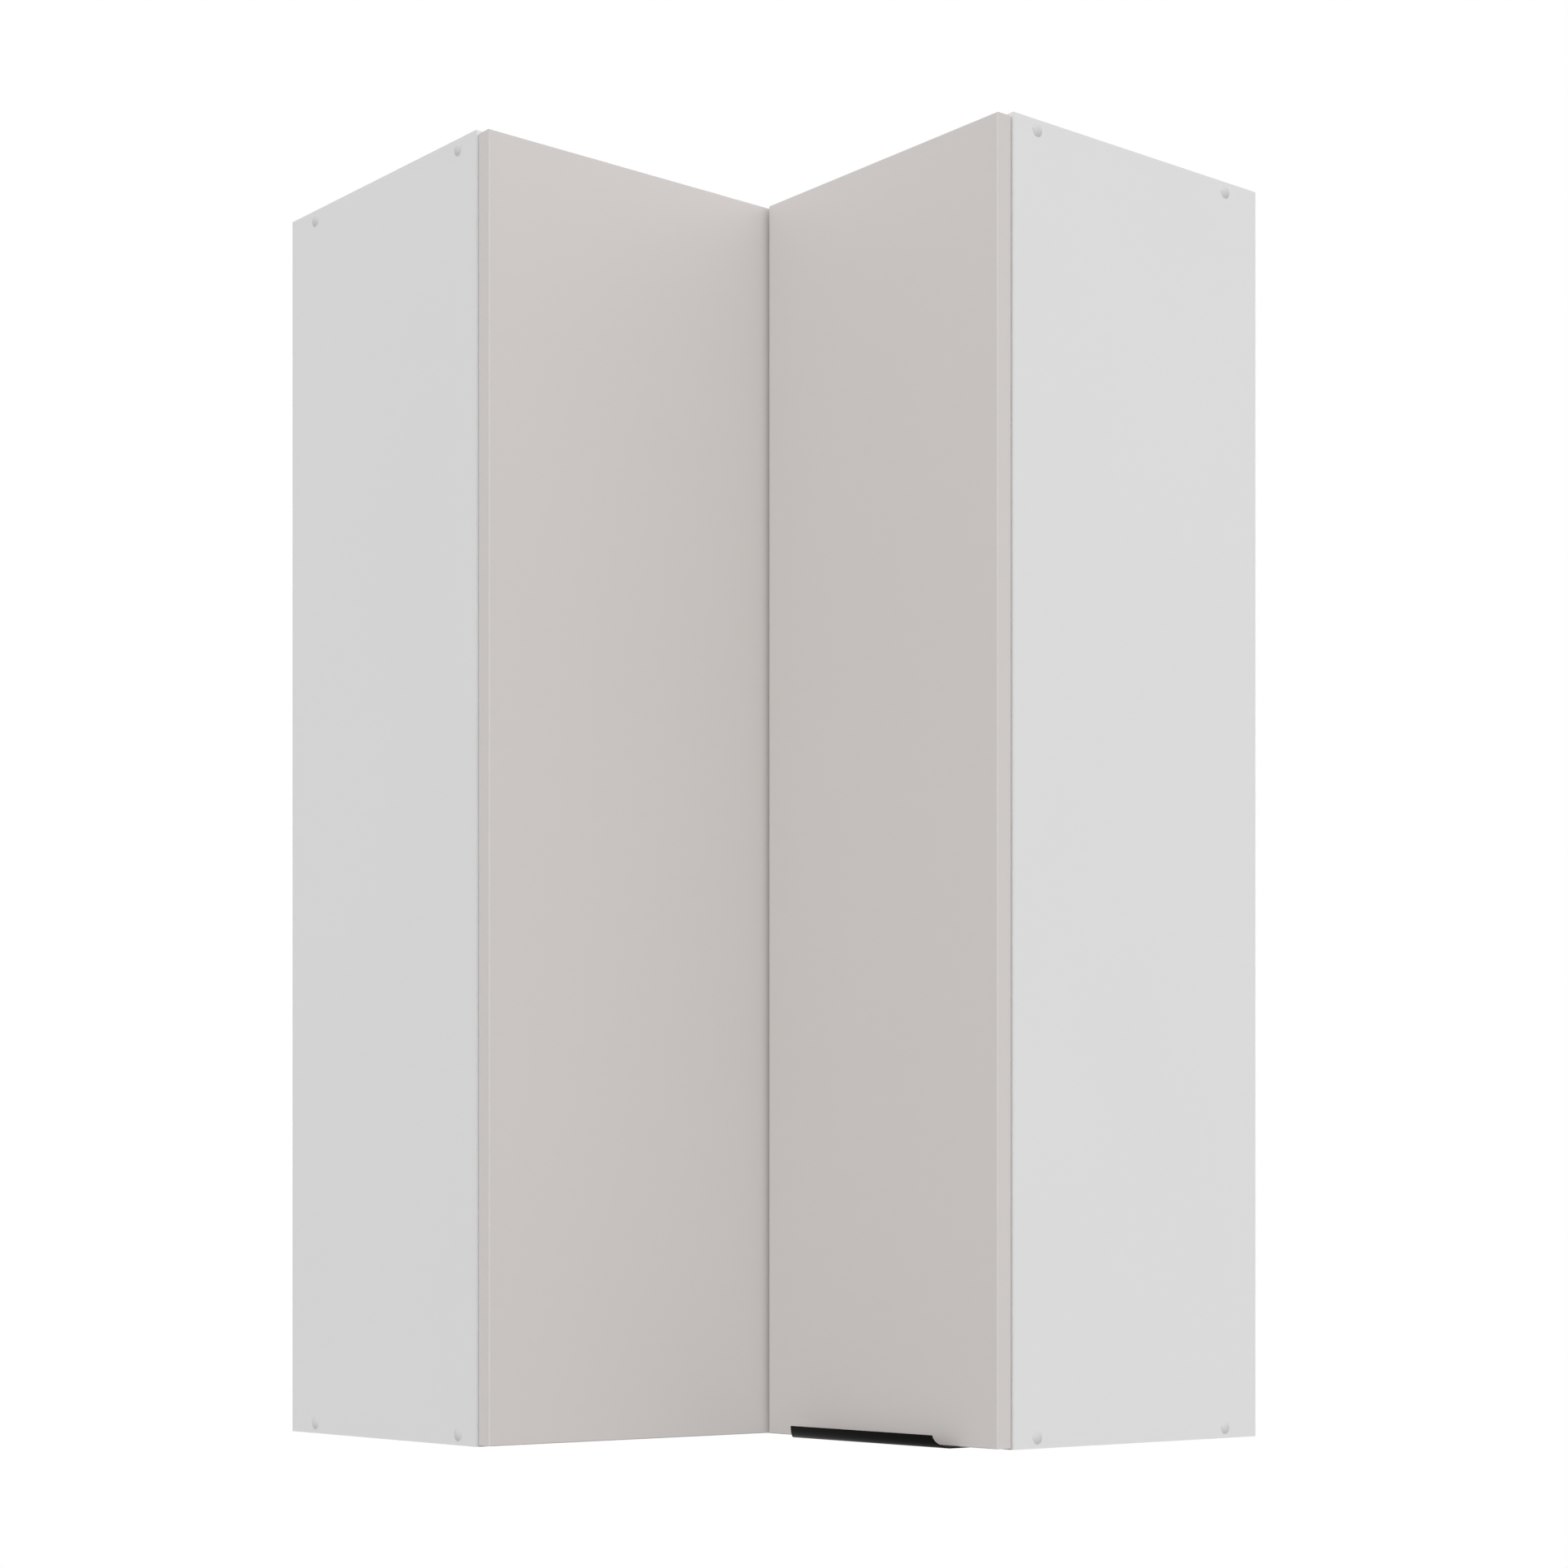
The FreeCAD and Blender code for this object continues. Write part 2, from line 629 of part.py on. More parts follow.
def left_door():
    """Left door: side hinge cups in its back, corner hinge plates by its inner end."""
    name = "left_door"
    blank = rounded_blank(name, ("door_inset", "left_door_end"), ("door_face", "door_back"),
                          ("door_bottom_gap", "door_top"))
    cutters = []
    for hinge, level in HINGES.items():
        bore = ("door_inset + cup_margin", "door_back - cup_depth", level)
        cutters.append(rod(f"{name}_{hinge}_cup_bore", "y", bore, "cup_radius", "cup_depth"))
        for way in (-1, 1):
            cup_screw = ("door_inset + cup_margin + cup_screw_offset",
                         "door_back + cup_flange - fitting_screw_length",
                         f"{level} + {way} * cup_screw_half")
            plate_screw = ("door_face - corner_plate_margin",
                           "door_back + plate_sheet - fitting_screw_length",
                           f"{level} + {way} * plate_screw_half")
            for start in (cup_screw, plate_screw):
                cutters.append(rod(f"{name}_{hinge}_screw_hole", "y", start,
                                   "fitting_bore", "fitting_screw_length", WOOD_SCREW_SIDES))
    return node(cut(name, blank, cutters), name)


def right_door():
    """Right door: corner hinge cups in its back and a rebate for the edge handle."""
    name = "right_door"
    blank = rounded_blank(name, ("door_face", "door_back"), ("door_inset", "right_door_end"),
                          ("door_bottom_gap", "door_top"))
    cutters = []
    for hinge, level in HINGES.items():
        centre = "right_door_end - cup_margin"
        cutters.append(rod(f"{name}_{hinge}_cup_bore", "x", ("door_back - cup_depth", centre, level),
                           "cup_radius", "cup_depth"))
        for way in (-1, 1):
            start = ("door_back + cup_flange - fitting_screw_length", f"{centre} - cup_screw_offset",
                     f"{level} + {way} * cup_screw_half")
            cutters.append(rod(f"{name}_{hinge}_screw_hole", "x", start,
                               "fitting_bore", "fitting_screw_length", WOOD_SCREW_SIDES))
    half = "(handle_base_half + handle_play)"
    cutters.append(block(f"{name}_handle_rebate",
                         ("door_back - handle_sheet - handle_play", "door_back"),
                         (f"handle_middle - {half}", f"handle_middle + {half}"),
                         ("door_bottom_gap", "door_bottom_gap + handle_flange")))
    for way in (-1, 1):
        start = ("door_back - fitting_screw_length",
                 f"handle_middle + {way} * handle_screw_half", "door_bottom_gap + handle_screw_rise")
        cutters.append(rod(f"{name}_handle_hole", "x", start, "fitting_bore", "fitting_screw_length",
                           WOOD_SCREW_SIDES))
    return node(cut(name, blank, cutters), name)


# ---------------------------------------------------------------- edge handle
def edge_handle():
    """Bent sheet: flange in the door's back, web under the door, lip curling up in front.
    Its own x runs from the door's face into the door, so the lip lies at negative x."""
    body = body_at("edge_handle", ("door_face", "handle_middle", "door_bottom_gap - handle_sheet"))
    section = sketch_in(body, "handle_section", "XZ_Plane", "-handle_base_half")
    start = "handle_bend * sin(handle_lip_angle) - handle_reach"
    inner_bend = "(handle_bend - handle_sheet)"
    rear = "door_board - handle_play"
    centre = (start, "handle_bend")
    outer_tip = ("0 - handle_reach", "handle_bend - handle_bend * cos(handle_lip_angle)")
    inner_tip = (f"{start} - {inner_bend} * sin(handle_lip_angle)",
                 f"handle_bend - {inner_bend} * cos(handle_lip_angle)")
    handle_profile(section, start, centre, outer_tip, inner_tip, rear)
    grow(body, "handle_sheet_metal", section, "2 * handle_base_half")
    ends = sketch_in(body, "handle_mitres", "XY_Plane")
    for way in ("", "0 - "):
        base, lip = f"{way}handle_base_half", f"{way}handle_lip_half"
        past = f"{way}(handle_base_half + 5)"
        corners = [(start, base), ("0 - handle_reach", lip), ("0 - handle_reach - 5", lip),
                   ("0 - handle_reach - 5", past), (start, past)]
        outline(ends, corners if way == "0 - " else corners[::-1])
    grow(body, "handle_end_cuts", ends, "handle_bend + handle_flange", kind="Pocket", reverse=True)
    screw_holes = sketch_in(body, "handle_screw_holes", "YZ_Plane", "door_board / 2")
    for way in ("", "0 - "):
        polygon(screw_holes, f"{way}handle_screw_half", "handle_screw_rise + handle_sheet",
                "fitting_bore", WOOD_SCREW_SIDES)
    grow(body, "handle_screw_cuts", screw_holes, "door_board / 2", kind="Pocket", reverse=True)
    return node(body, "edge_handle")


def handle_profile(section, start, centre, outer_tip, inner_tip, rear):
    """The handle's section: one sheet's thickness all the way round."""
    points = [
        (rear, "0"), (rear, "handle_flange + handle_sheet"),
        (f"{rear} - handle_sheet", "handle_flange + handle_sheet"), (f"{rear} - handle_sheet", "handle_sheet"),
        (start, "handle_sheet"), inner_tip, outer_tip, (start, "0"),
    ]
    spots = [Vector(value(x), value(z), 0) for x, z in points]
    middle = Vector(value(centre[0]), value(centre[1]), 0)
    bottom, tilt = 1.5 * math.pi, math.radians(value("handle_lip_angle"))
    lines = {}
    for place in (0, 1, 2, 3, 5, 7):
        line = Part.LineSegment(spots[place], spots[(place + 1) % 8])
        lines[place] = section.addGeometry(line, False)
    arcs = []
    for place in (4, 6):
        ring = Part.Circle(middle, Vector(0, 0, 1), (spots[place] - middle).Length)
        arcs.append(section.addGeometry(Part.ArcOfCircle(ring, bottom - tilt, bottom), False))
    inner, outer = arcs
    for place in (0, 1, 2, 7):
        section.addConstraint(Sketcher.Constraint("Coincident", lines[place], 2, lines[(place + 1) % 8], 1))
    section.addConstraint(Sketcher.Constraint("Coincident", lines[3], 2, inner, 2))
    section.addConstraint(Sketcher.Constraint("Coincident", inner, 1, lines[5], 1))
    section.addConstraint(Sketcher.Constraint("Coincident", lines[5], 2, outer, 1))
    section.addConstraint(Sketcher.Constraint("Coincident", outer, 2, lines[7], 1))
    for arc in arcs:
        hold(section, arc, 3, "x", centre[0])
        hold(section, arc, 3, "y", centre[1])
    for place in (0, 1, 2, 3):
        hold(section, lines[place], 1, "x", points[place][0])
        hold(section, lines[place], 1, "y", points[place][1])
    for line, end, (x, z) in ((lines[3], 2, points[4]), (lines[7], 1, points[7])):
        hold(section, line, end, "y", z)
        hold(section, line, end, "x", x)
    hold(section, lines[5], 1, "y", inner_tip[1])
    hold(section, lines[5], 2, "y", outer_tip[1])


# ---------------------------------------------------------------- concealed hinges
# A hinge frame stands on the vertical line that its door turns about: the hung door's
# edge, at its face. "along" runs into the hung door, "deep" from its face to its back.
def on_hinge(kind, along, deep, level):
    """Cabinet coordinates of a point given in a hinge's own frame."""
    if kind == "side":
        return (f"door_inset + ({along})", f"door_face + ({deep})", level)
    return (f"door_face + ({deep})", f"right_door_end - ({along})", level)


HINGE_TURN = {"side": 0, "corner": -90}


def hinge_cup(kind, hinge):
    """Cup pressed into the hung door's back, its flange plate and the pin across it."""
    name = f"{kind}_hinge_{hinge}_cup"
    body = body_at(name, on_hinge(kind, "cup_margin", "0", HINGES[hinge]), HINGE_TURN[kind])
    floor = "door_board - cup_depth + cup_play"
    can = sketch_in(body, f"{name}_can_outline", "XZ_Plane", "0 - door_board")
    polygon(can, "0", "0", f"cup_outer * cos(180 / {CUP_SIDES})", CUP_SIDES)
    grow(body, f"{name}_can", can, "cup_depth - cup_play")
    wings = sketch_in(body, f"{name}_flange_outline", "XZ_Plane", "0 - door_board")
    outline(wings, [("cup_flange_start", "0 - cup_flange_half"), ("cup_flange_end", "0 - cup_flange_half"),
                    ("cup_flange_end", "cup_flange_half"), ("cup_flange_start", "cup_flange_half")])
    for way in ("", "0 - "):
        polygon(wings, "cup_screw_offset", f"{way}cup_screw_half", "fitting_bore", WOOD_SCREW_SIDES)
    grow(body, f"{name}_flange", wings, "cup_flange", reverse=True)
    well = sketch_in(body, f"{name}_well_outline", "XZ_Plane", "0 - door_board - cup_flange")
    outline(well, [("0 - cup_well_front", "0 - cup_well_half"), ("cup_well_rear", "0 - cup_well_half"),
                   ("cup_well_rear", "cup_well_half"), ("0 - cup_well_front", "cup_well_half")])
    grow(body, f"{name}_well", well, "cup_depth + cup_flange - cup_play - cup_wall", kind="Pocket",
         reverse=True)
    pin = sketch_in(body, f"{name}_pin_section", "XY_Plane")
    circle(pin, "cup_pin_along - cup_margin", "cup_pin_deep", "hinge_pin_radius")
    grow(body, f"{name}_pin", pin, "2 * cup_well_half + cup_wall", symmetric=True)
    return node(body, name)


def link_plate(sketch, length, half, near_bore, far_bore):
    """A link's outline with ends of four flats each, and its pin holes."""
    around = [(f"0 + {half} * cos({turn})", f"{half} * sin({turn})") for turn in (90, 135, 180, 225, 270)]
    beyond = [(f"{length} + {half} * cos({turn})", f"{half} * sin({turn})") for turn in (-90, -45, 0, 45, 90)]
    outline(sketch, around + beyond)
    if near_bore:
        polygon(sketch, "0", "0", near_bore, LINK_HOLE_SIDES)
    if far_bore:
        polygon(sketch, length, "0", far_bore, LINK_HOLE_SIDES)


def front_link(kind, hinge):
    """The link that stands on the cup's pin and reaches out to the middle pin."""
    name = f"{kind}_hinge_{hinge}_front_link"
    place = on_hinge(kind, "cup_pin_along", "cup_pin_deep", HINGES[hinge])
    body = body_at(name, place, HINGE_TURN[kind] + value("link_angle"))
    plate = sketch_in(body, f"{name}_outline", "XY_Plane")
    link_plate(plate, "link_reach", "front_link_half", "hinge_pin_radius + hinge_pin_play",
               "hinge_pin_radius + open_pivot_play")
    grow(body, f"{name}_plate", plate, "front_link_thick", symmetric=True)
    return node(body, name)


def rear_link(kind, hinge):
    """The link that turns on the arm's pin: two cheeks joined by the middle pin."""
    name = f"{kind}_hinge_{hinge}_rear_link"
    place = on_hinge(kind, "arm_pin_along", "arm_pin_deep", HINGES[hinge])
    lean = math.degrees(math.atan2(value("cup_pin_deep"), value("cup_pin_along")))
    body = body_at(name, place, HINGE_TURN[kind] + lean)
    pin = sketch_in(body, f"{name}_pin_section", "XY_Plane")
    polygon(pin, "cup_link", "0", f"hinge_pin_radius * cos(180 / {LINK_HOLE_SIDES})", LINK_HOLE_SIDES)
    grow(body, f"{name}_pin", pin, "rear_link_outside", symmetric=True)
    for count, level in enumerate(("rear_link_inside / 2", "0 - rear_link_outside / 2")):
        cheek = sketch_in(body, f"{name}_cheek_outline_{count}", "XY_Plane", level)
        link_plate(cheek, "cup_link", "rear_link_half", "hinge_pin_radius + hinge_pin_play", None)
        grow(body, f"{name}_cheek_{count}", cheek, "(rear_link_outside - rear_link_inside) / 2")
    return node(body, name)


def channel(body, name, profile, hollows):
    """A bent channel: its side view padded, then hollowed, with the arm's pin across its ears."""
    side_view = sketch_in(body, f"{name}_profile", "XY_Plane")
    outline(side_view, profile)
    grow(body, f"{name}_blank", side_view, "arm_width", symmetric=True)
    for count, (low_x, high_x, low_y, high_y) in enumerate(hollows):
        hollow = sketch_in(body, f"{name}_hollow_outline_{count}", "XY_Plane")
        outline(hollow, [(low_x, low_y), (high_x, low_y), (high_x, high_y), (low_x, high_y)])
        grow(body, f"{name}_hollow_{count}", hollow, "arm_width - 2 * arm_sheet", kind="Pocket",
             symmetric=True)
    pin = sketch_in(body, f"{name}_pin_section", "XY_Plane")
    circle(pin, "arm_pin_along", "arm_pin_deep", "hinge_pin_radius")
    grow(body, f"{name}_pin", pin, "arm_width", symmetric=True)


def side_arm(hinge):
    """Arm on the left end panel, reaching forward to its pin just behind the front."""
    name = f"side_hinge_{hinge}_arm"
    body = body_at(name, on_hinge("side", "0", "0", HINGES[hinge]))
    base = "board - door_inset + plate_sheet"
    top = f"{base} + arm_rise"
    start, end = "front_plane + arm_start", "front_plane + arm_end"
    ear_high = "arm_pin_along + arm_ear"
    ear = [(f"arm_pin_along + arm_ear * cos({turn})", f"arm_pin_deep + arm_ear * sin({turn})")
           for turn in (-180, -135, -90, -45, 0)]
    profile = [*ear, (top, start), (top, end), (base, end), (base, start)]
    hollows = [
        (f"{base} - 5", f"{top} - arm_sheet", f"{start} - 1", f"{end} + 1"),
        (f"{base} - 5", f"{ear_high} + 5", "front_plane - 5", start),
    ]
    channel(body, name, profile, hollows)
    return node(body, name)


def corner_arm(hinge):
    """Arm on the left door's back, cranked round the inner corner behind the right door."""
    name = f"corner_hinge_{hinge}_arm"
    body = body_at(name, on_hinge("corner", "0", "0", HINGES[hinge]), HINGE_TURN["corner"])
    near = "0 - inner_gap - door_board - plate_sheet"
    far = f"{near} - arm_rise"
    low, high = "arm_pin_deep - arm_ear", "arm_pin_deep + arm_ear"
    tail = "0 - corner_arm_tail"
    ear = [(f"arm_pin_along + arm_ear * cos({turn})", f"arm_pin_deep + arm_ear * sin({turn})")
           for turn in (-90, -45, 0, 45, 90)]
    profile = [*ear, (far, high), (far, tail), (near, tail), (near, low)]
    hollows = [
        (f"{far} + arm_sheet", "arm_pin_along + 3 * arm_ear", f"{low} - 1", f"{high} - arm_sheet"),
        ("arm_pin_along - 1.5 * arm_ear", "arm_pin_along + 3 * arm_ear", f"{low} - 1", f"{high} + 1"),
        (f"{far} + arm_sheet", f"{near} + 1", f"{tail} - 1", f"{high} - arm_sheet"),
    ]
    channel(body, name, profile, hollows)
    return node(body, name)


def mounting_plate(kind, hinge):
    """Cross plate screwed to a board, with the rail that the arm clips over.
    Its own x stands off the board, and its y runs the way the arm's tail does."""
    name = f"{kind}_hinge_{hinge}_plate"
    if kind == "side":
        body = body_at(name, ("board", "wing_front + plate_margin", HINGES[hinge]))
    else:
        body = body_at(name, ("door_face - corner_plate_margin", "door_back", HINGES[hinge]), 90)
    wings = sketch_in(body, f"{name}_wings_outline", "YZ_Plane")
    half, tall = "plate_wing_width / 2", "plate_wing_half"
    outline(wings, [(f"0 - {half}", f"0 - {tall}"), (half, f"0 - {tall}"), (half, tall), (f"0 - {half}", tall)])
    for way in ("", "0 - "):
        polygon(wings, "0", f"{way}plate_screw_half", "fitting_bore", WOOD_SCREW_SIDES)
    grow(body, f"{name}_wings", wings, "plate_sheet")
    rail = sketch_in(body, f"{name}_rail_outline", "YZ_Plane")
    side = "arm_width / 2 - arm_sheet - plate_play"
    outline(rail, [("0 - plate_rail_front", f"0 - ({side})"), ("plate_rail_rear", f"0 - ({side})"),
                   ("plate_rail_rear", side), ("0 - plate_rail_front", side)])
    grow(body, f"{name}_rail", rail, "plate_sheet + arm_rise - arm_sheet")
    return node(body, name)


# ---------------------------------------------------------------- fitting screws
def fitting_screws(name, places):
    """Short wood screws with round heads, seated on the plates that they hold."""
    head, body = value("fitting_head_radius"), value("fitting_screw_radius")
    tall, tip = value("fitting_head_length"), value("fitting_screw_length - screw_play")
    top = turned([(0, tall), (0.65 * head, tall), (head, 0), (0, 0)], SCREW_HEAD_SIDES)
    shank = turned([(0, 0), (body, 0), (body, -0.8 * tip), (0, -tip)], WOOD_SCREW_SIDES)
    return group(name, top.fuse(shank), places)


def screw_rows(kind):
    """Places of the screws of one kind of hinge: its plates' and its cups'."""
    plates, cups = [], []
    for level in HINGES.values():
        for way in (-1, 1):
            at_plate, at_cup = f"{level} + {way} * plate_screw_half", f"{level} + {way} * cup_screw_half"
            cup = on_hinge(kind, "cup_margin + cup_screw_offset", "door_board + cup_flange", at_cup)
            if kind == "side":
                plates.append(spot("board + plate_sheet", "wing_front + plate_margin", at_plate, TURN["x"]))
                cups.append(spot(*cup, TURN["y"]))
            else:
                plates.append(spot("door_face - corner_plate_margin", "door_back + plate_sheet",
                                   at_plate, TURN["y"]))
                cups.append(spot(*cup, TURN["x"]))
    return plates, cups


def handle_screws():
    """Two flat-headed screws that hold the handle's flange, flush with the door's back."""
    body, tip = value("fitting_screw_radius"), value("fitting_screw_length - screw_play")
    screw = turned([(0, -0.05), (body, -0.05), (body, -0.8 * tip), (0, -tip)], WOOD_SCREW_SIDES)
    rise = "door_bottom_gap + handle_screw_rise"
    places = [spot("door_back", f"handle_middle + {way} * handle_screw_half", rise, TURN["x"])
              for way in (-1, 1)]
    return group("handle_screws", screw, places)


def door_bumpers():
    """Thin clear pads on the right end panel's front edge, where the right door lands."""
    radius, tall = value("bumper_radius"), value("bumper_height")
    pad = turned([(0, tall), (0.8 * radius, tall), (radius, 0), (0, 0)], BUMPER_SIDES)
    turn = Rotation(Vector(0, 1, 0), -90)
    places = [spot("wing_front", "board / 2", level, turn)
              for level in ("bumper_margin", "height - bumper_margin")]
    return group("door_bumpers", pad, places)


# ---------------------------------------------------------------- build
for side in ("left", "right"):
    end_panel(side)
closing_panel("bottom_panel", "0", ("board - groove_depth", "board"))
closing_panel("top_panel", "height - board", ("height - board", "height - board + groove_depth"))
for position in SHELVES:
    shelf(position)
shelf_pins()
for side in ("left", "right"):
    back(side)
    stile(side)
    screw_caps(side)
    hanger(side)
carcass_screws()
door_bumpers()
left_door()
right_door()
edge_handle()
handle_screws()
for hinge in HINGES:
    for kind in ("side", "corner"):
        mounting_plate(kind, hinge)
        hinge_cup(kind, hinge)
        front_link(kind, hinge)
        rear_link(kind, hinge)
    side_arm(hinge)
    corner_arm(hinge)
side_plates, side_cups = screw_rows("side")
corner_plates, corner_cups = screw_rows("corner")
fitting_screws("side_plate_screws", side_plates)
fitting_screws("left_door_screws", side_cups + corner_plates)
fitting_screws("right_door_screws", corner_cups)

doc.recompute()

# ---------------------------------------------------------------- checks and export
for item in doc.Objects:
    if "Invalid" in item.State or "Error" in item.State:
        raise RuntimeError(f"{item.Name} failed: {item.State}")
for item in NODES:
    if item.Shape.isNull() or not item.Shape.isValid() or not item.Shape.Solids:
        raise RuntimeError(f"{item.Label} has no valid solid")

os.makedirs("parts", exist_ok=True)
for item in NODES:
    item.Shape.exportStep(f"parts/{item.Label}.step")
whole = Part.makeCompound([item.Shape for item in NODES])
print(f"{len(NODES)} sub-parts, {len(whole.Solids)} solids")
print(f"box {whole.BoundBox}")
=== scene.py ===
# %% [markdown]
# # A corner wall cabinet with folding doors
#
# The real cabinet is white laminated board with two warm grey doors, a black edge
# handle under the right door, and concealed hinges that show only when the doors
# are open. The measured parts come in from the frame at their real sizes. This
# script gives them their finishes and adds the small pieces that a plain solid
# leaves out, such as domed caps, screw heads and the rounded handle.

# %% Load the measured frame
import json
import math

import bmesh
import bpy
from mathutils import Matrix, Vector


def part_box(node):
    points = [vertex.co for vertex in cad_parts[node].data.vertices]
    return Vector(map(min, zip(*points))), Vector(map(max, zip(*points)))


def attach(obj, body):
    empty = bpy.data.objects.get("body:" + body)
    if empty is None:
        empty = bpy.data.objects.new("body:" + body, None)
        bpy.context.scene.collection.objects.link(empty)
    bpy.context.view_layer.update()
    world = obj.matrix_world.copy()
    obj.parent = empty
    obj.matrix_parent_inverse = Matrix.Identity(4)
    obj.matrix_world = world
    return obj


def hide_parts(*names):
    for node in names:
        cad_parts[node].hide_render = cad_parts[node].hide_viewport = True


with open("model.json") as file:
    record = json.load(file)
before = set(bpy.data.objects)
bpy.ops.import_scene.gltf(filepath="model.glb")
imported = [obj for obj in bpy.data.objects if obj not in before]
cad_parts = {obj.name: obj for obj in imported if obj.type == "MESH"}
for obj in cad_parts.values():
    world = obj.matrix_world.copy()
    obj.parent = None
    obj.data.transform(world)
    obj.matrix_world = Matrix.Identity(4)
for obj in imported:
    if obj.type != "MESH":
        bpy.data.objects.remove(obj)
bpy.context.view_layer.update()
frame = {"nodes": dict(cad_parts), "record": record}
MM = 0.001

# %% [markdown]
# Most places are measured from the frame. The boards tell where the planes are:
# the end panels give the outer faces and the wall, and the doors give their fronts.
# Numbers could be typed in instead, but then a piece would float when a size changes.

# %% Planes of the cabinet
left_low, left_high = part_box("left_side")
right_low, right_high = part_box("right_side")
left_door_low, left_door_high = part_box("left_door")
right_door_low, right_door_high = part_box("right_door")
outer_x, outer_y = left_low.x, right_low.y
wall_x, wall_y = right_high.x, left_high.y
cabinet_height = left_high.z
board = left_high.x - left_low.x
print("outer faces at", round(outer_x, 4), round(outer_y, 4), "height", round(cabinet_height, 3))

# %% [markdown]
# ## Modelling helpers
#
# Modelling by operators acts on whatever is selected, so each step first clears the
# selection and then selects by place. A finished piece keeps its origin at the
# cabinet's origin, as the measured nodes do, so its place is in its mesh.

# %% Selecting
def deselect():
    """Clear the selection, so that the next operator acts on the new piece alone."""
    bpy.ops.object.select_all(action="DESELECT")


def pick(piece):
    """Make one piece the only selected one, and the one that edit mode opens."""
    deselect()
    piece.select_set(True)
    bpy.context.view_layer.objects.active = piece


def select_faces(piece, test):
    """In edit mode, select only the faces whose centre and normal pass a test."""
    bpy.ops.mesh.select_mode(type="FACE")
    bpy.ops.mesh.select_all(action="DESELECT")
    shape = bmesh.from_edit_mesh(piece.data)
    for face in shape.faces:
        face.select_set(bool(test(face.calc_center_median(), face.normal)))
    shape.select_flush(True)
    bmesh.update_edit_mesh(piece.data)


def select_edges(piece, test):
    """In edit mode, select only the edges whose two ends pass a test."""
    bpy.ops.mesh.select_mode(type="EDGE")
    bpy.ops.mesh.select_all(action="DESELECT")
    shape = bmesh.from_edit_mesh(piece.data)
    for edge in shape.edges:
        edge.select_set(bool(test(edge.verts[0].co, edge.verts[1].co)))
    bmesh.update_edit_mesh(piece.data)


# %% [markdown]
# A piece is placed, copied and joined in the same few ways each time. Linked copies
# would save memory, but every piece here needs a mesh of its own, because its place
# is written into the mesh.

# %% Placing, copying and joining
def settle(piece, name):
    """Name a piece and write its place into its mesh."""
    piece.name = name
    piece.data.name = name
    pick(piece)
    bpy.ops.object.transform_apply(location=True, rotation=True, scale=True)
    return piece


def put(piece, name, move, turn=(0, 0, 0)):
    """Turn a piece about the origin, move it and write that into its mesh."""
    piece.location = move
    piece.rotation_euler = turn
    return settle(piece, name)


def copy_to(piece, name, move, turn=(0, 0, 0)):
    """A copy with its own mesh, turned and moved in its mesh."""
    twin = piece.copy()
    twin.data = piece.data.copy()
    bpy.context.collection.objects.link(twin)
    return put(twin, name, move, turn)


def join(pieces, name):
    """Make one piece of several."""
    deselect()
    for piece in pieces:
        piece.select_set(True)
    bpy.context.view_layer.objects.active = pieces[0]
    bpy.ops.object.join()
    return settle(pieces[0], name)


def drop(*patterns):
    """Remove the patterns that copies were made from."""
    for pattern in patterns:
        bpy.data.objects.remove(pattern)


# %% [markdown]
# Modifiers round and cut a piece without touching its mesh, so they are easy to
# change while it is being made. Here they are applied at once, because the next step
# selects the edges that they make.

# %% Rounding and cutting
def finish_modifiers(piece):
    """Apply a piece's modifiers in order."""
    pick(piece)
    for modifier in list(piece.modifiers):
        bpy.ops.object.modifier_apply(modifier=modifier.name)


def shade_smooth(degrees=35):
    """Smooth the picked piece, but leave sharper bends than this as edges."""
    bpy.ops.object.shade_smooth_by_angle(angle=math.radians(degrees))


def round_edges(piece, width, segments=3):
    """Bevel every sharp edge of a piece and shade it smooth."""
    bevel = piece.modifiers.new("round", "BEVEL")
    bevel.width = width
    bevel.segments = segments
    bevel.limit_method = "ANGLE"
    finish_modifiers(piece)
    shade_smooth()


def bevel_where(piece, width, segments, test):
    """Round only the edges whose two ends pass a test."""
    pick(piece)
    bpy.ops.object.mode_set(mode="EDIT")
    select_edges(piece, test)
    bpy.ops.mesh.bevel(offset=width, segments=segments, affect="EDGES")
    bpy.ops.object.mode_set(mode="OBJECT")


near = 0.1 * MM  # how far off a place may be and still be found


def runs_along(axis):
    """A test for edges that run along an axis: 0 for X, 1 for Y and 2 for Z."""
    others = [other for other in range(3) if other != axis]
    return lambda a, b: all(abs(a[other] - b[other]) < near for other in others)


def carve(piece, cutter, operation="DIFFERENCE"):
    """Cut a closed shape out of a piece, or unite the two, and drop the cutter."""
    tool = piece.modifiers.new("carve", "BOOLEAN")
    tool.object = cutter
    tool.operation = operation
    tool.solver = "EXACT"
    finish_modifiers(piece)
    drop(cutter)


# %% [markdown]
# Three blanks are enough for this cabinet's metal and plastic: a box, a round bar and a
# turned piece. A turned piece could be spun from a drawn line. It is drawn up from a
# disc instead, because a disc has no seam and no pole to mend.

# %% Three starting shapes
def slab(name, low, high):
    """A box between two corners, as a blank to be shaped."""
    deselect()
    bpy.ops.mesh.primitive_cube_add(size=1, location=(Vector(low) + Vector(high)) / 2)
    blank = bpy.context.object
    blank.scale = Vector(high) - Vector(low)
    return settle(blank, name)


def rod(name, start, axis, radius, length, sides=48):
    """A round bar from a point along an axis."""
    axis = Vector(axis)
    deselect()
    bpy.ops.mesh.primitive_cylinder_add(
        vertices=sides, radius=radius, depth=length, location=Vector(start) + axis * length / 2,
        rotation=axis.to_track_quat("Z", "Y").to_euler())
    return settle(bpy.context.object, name)


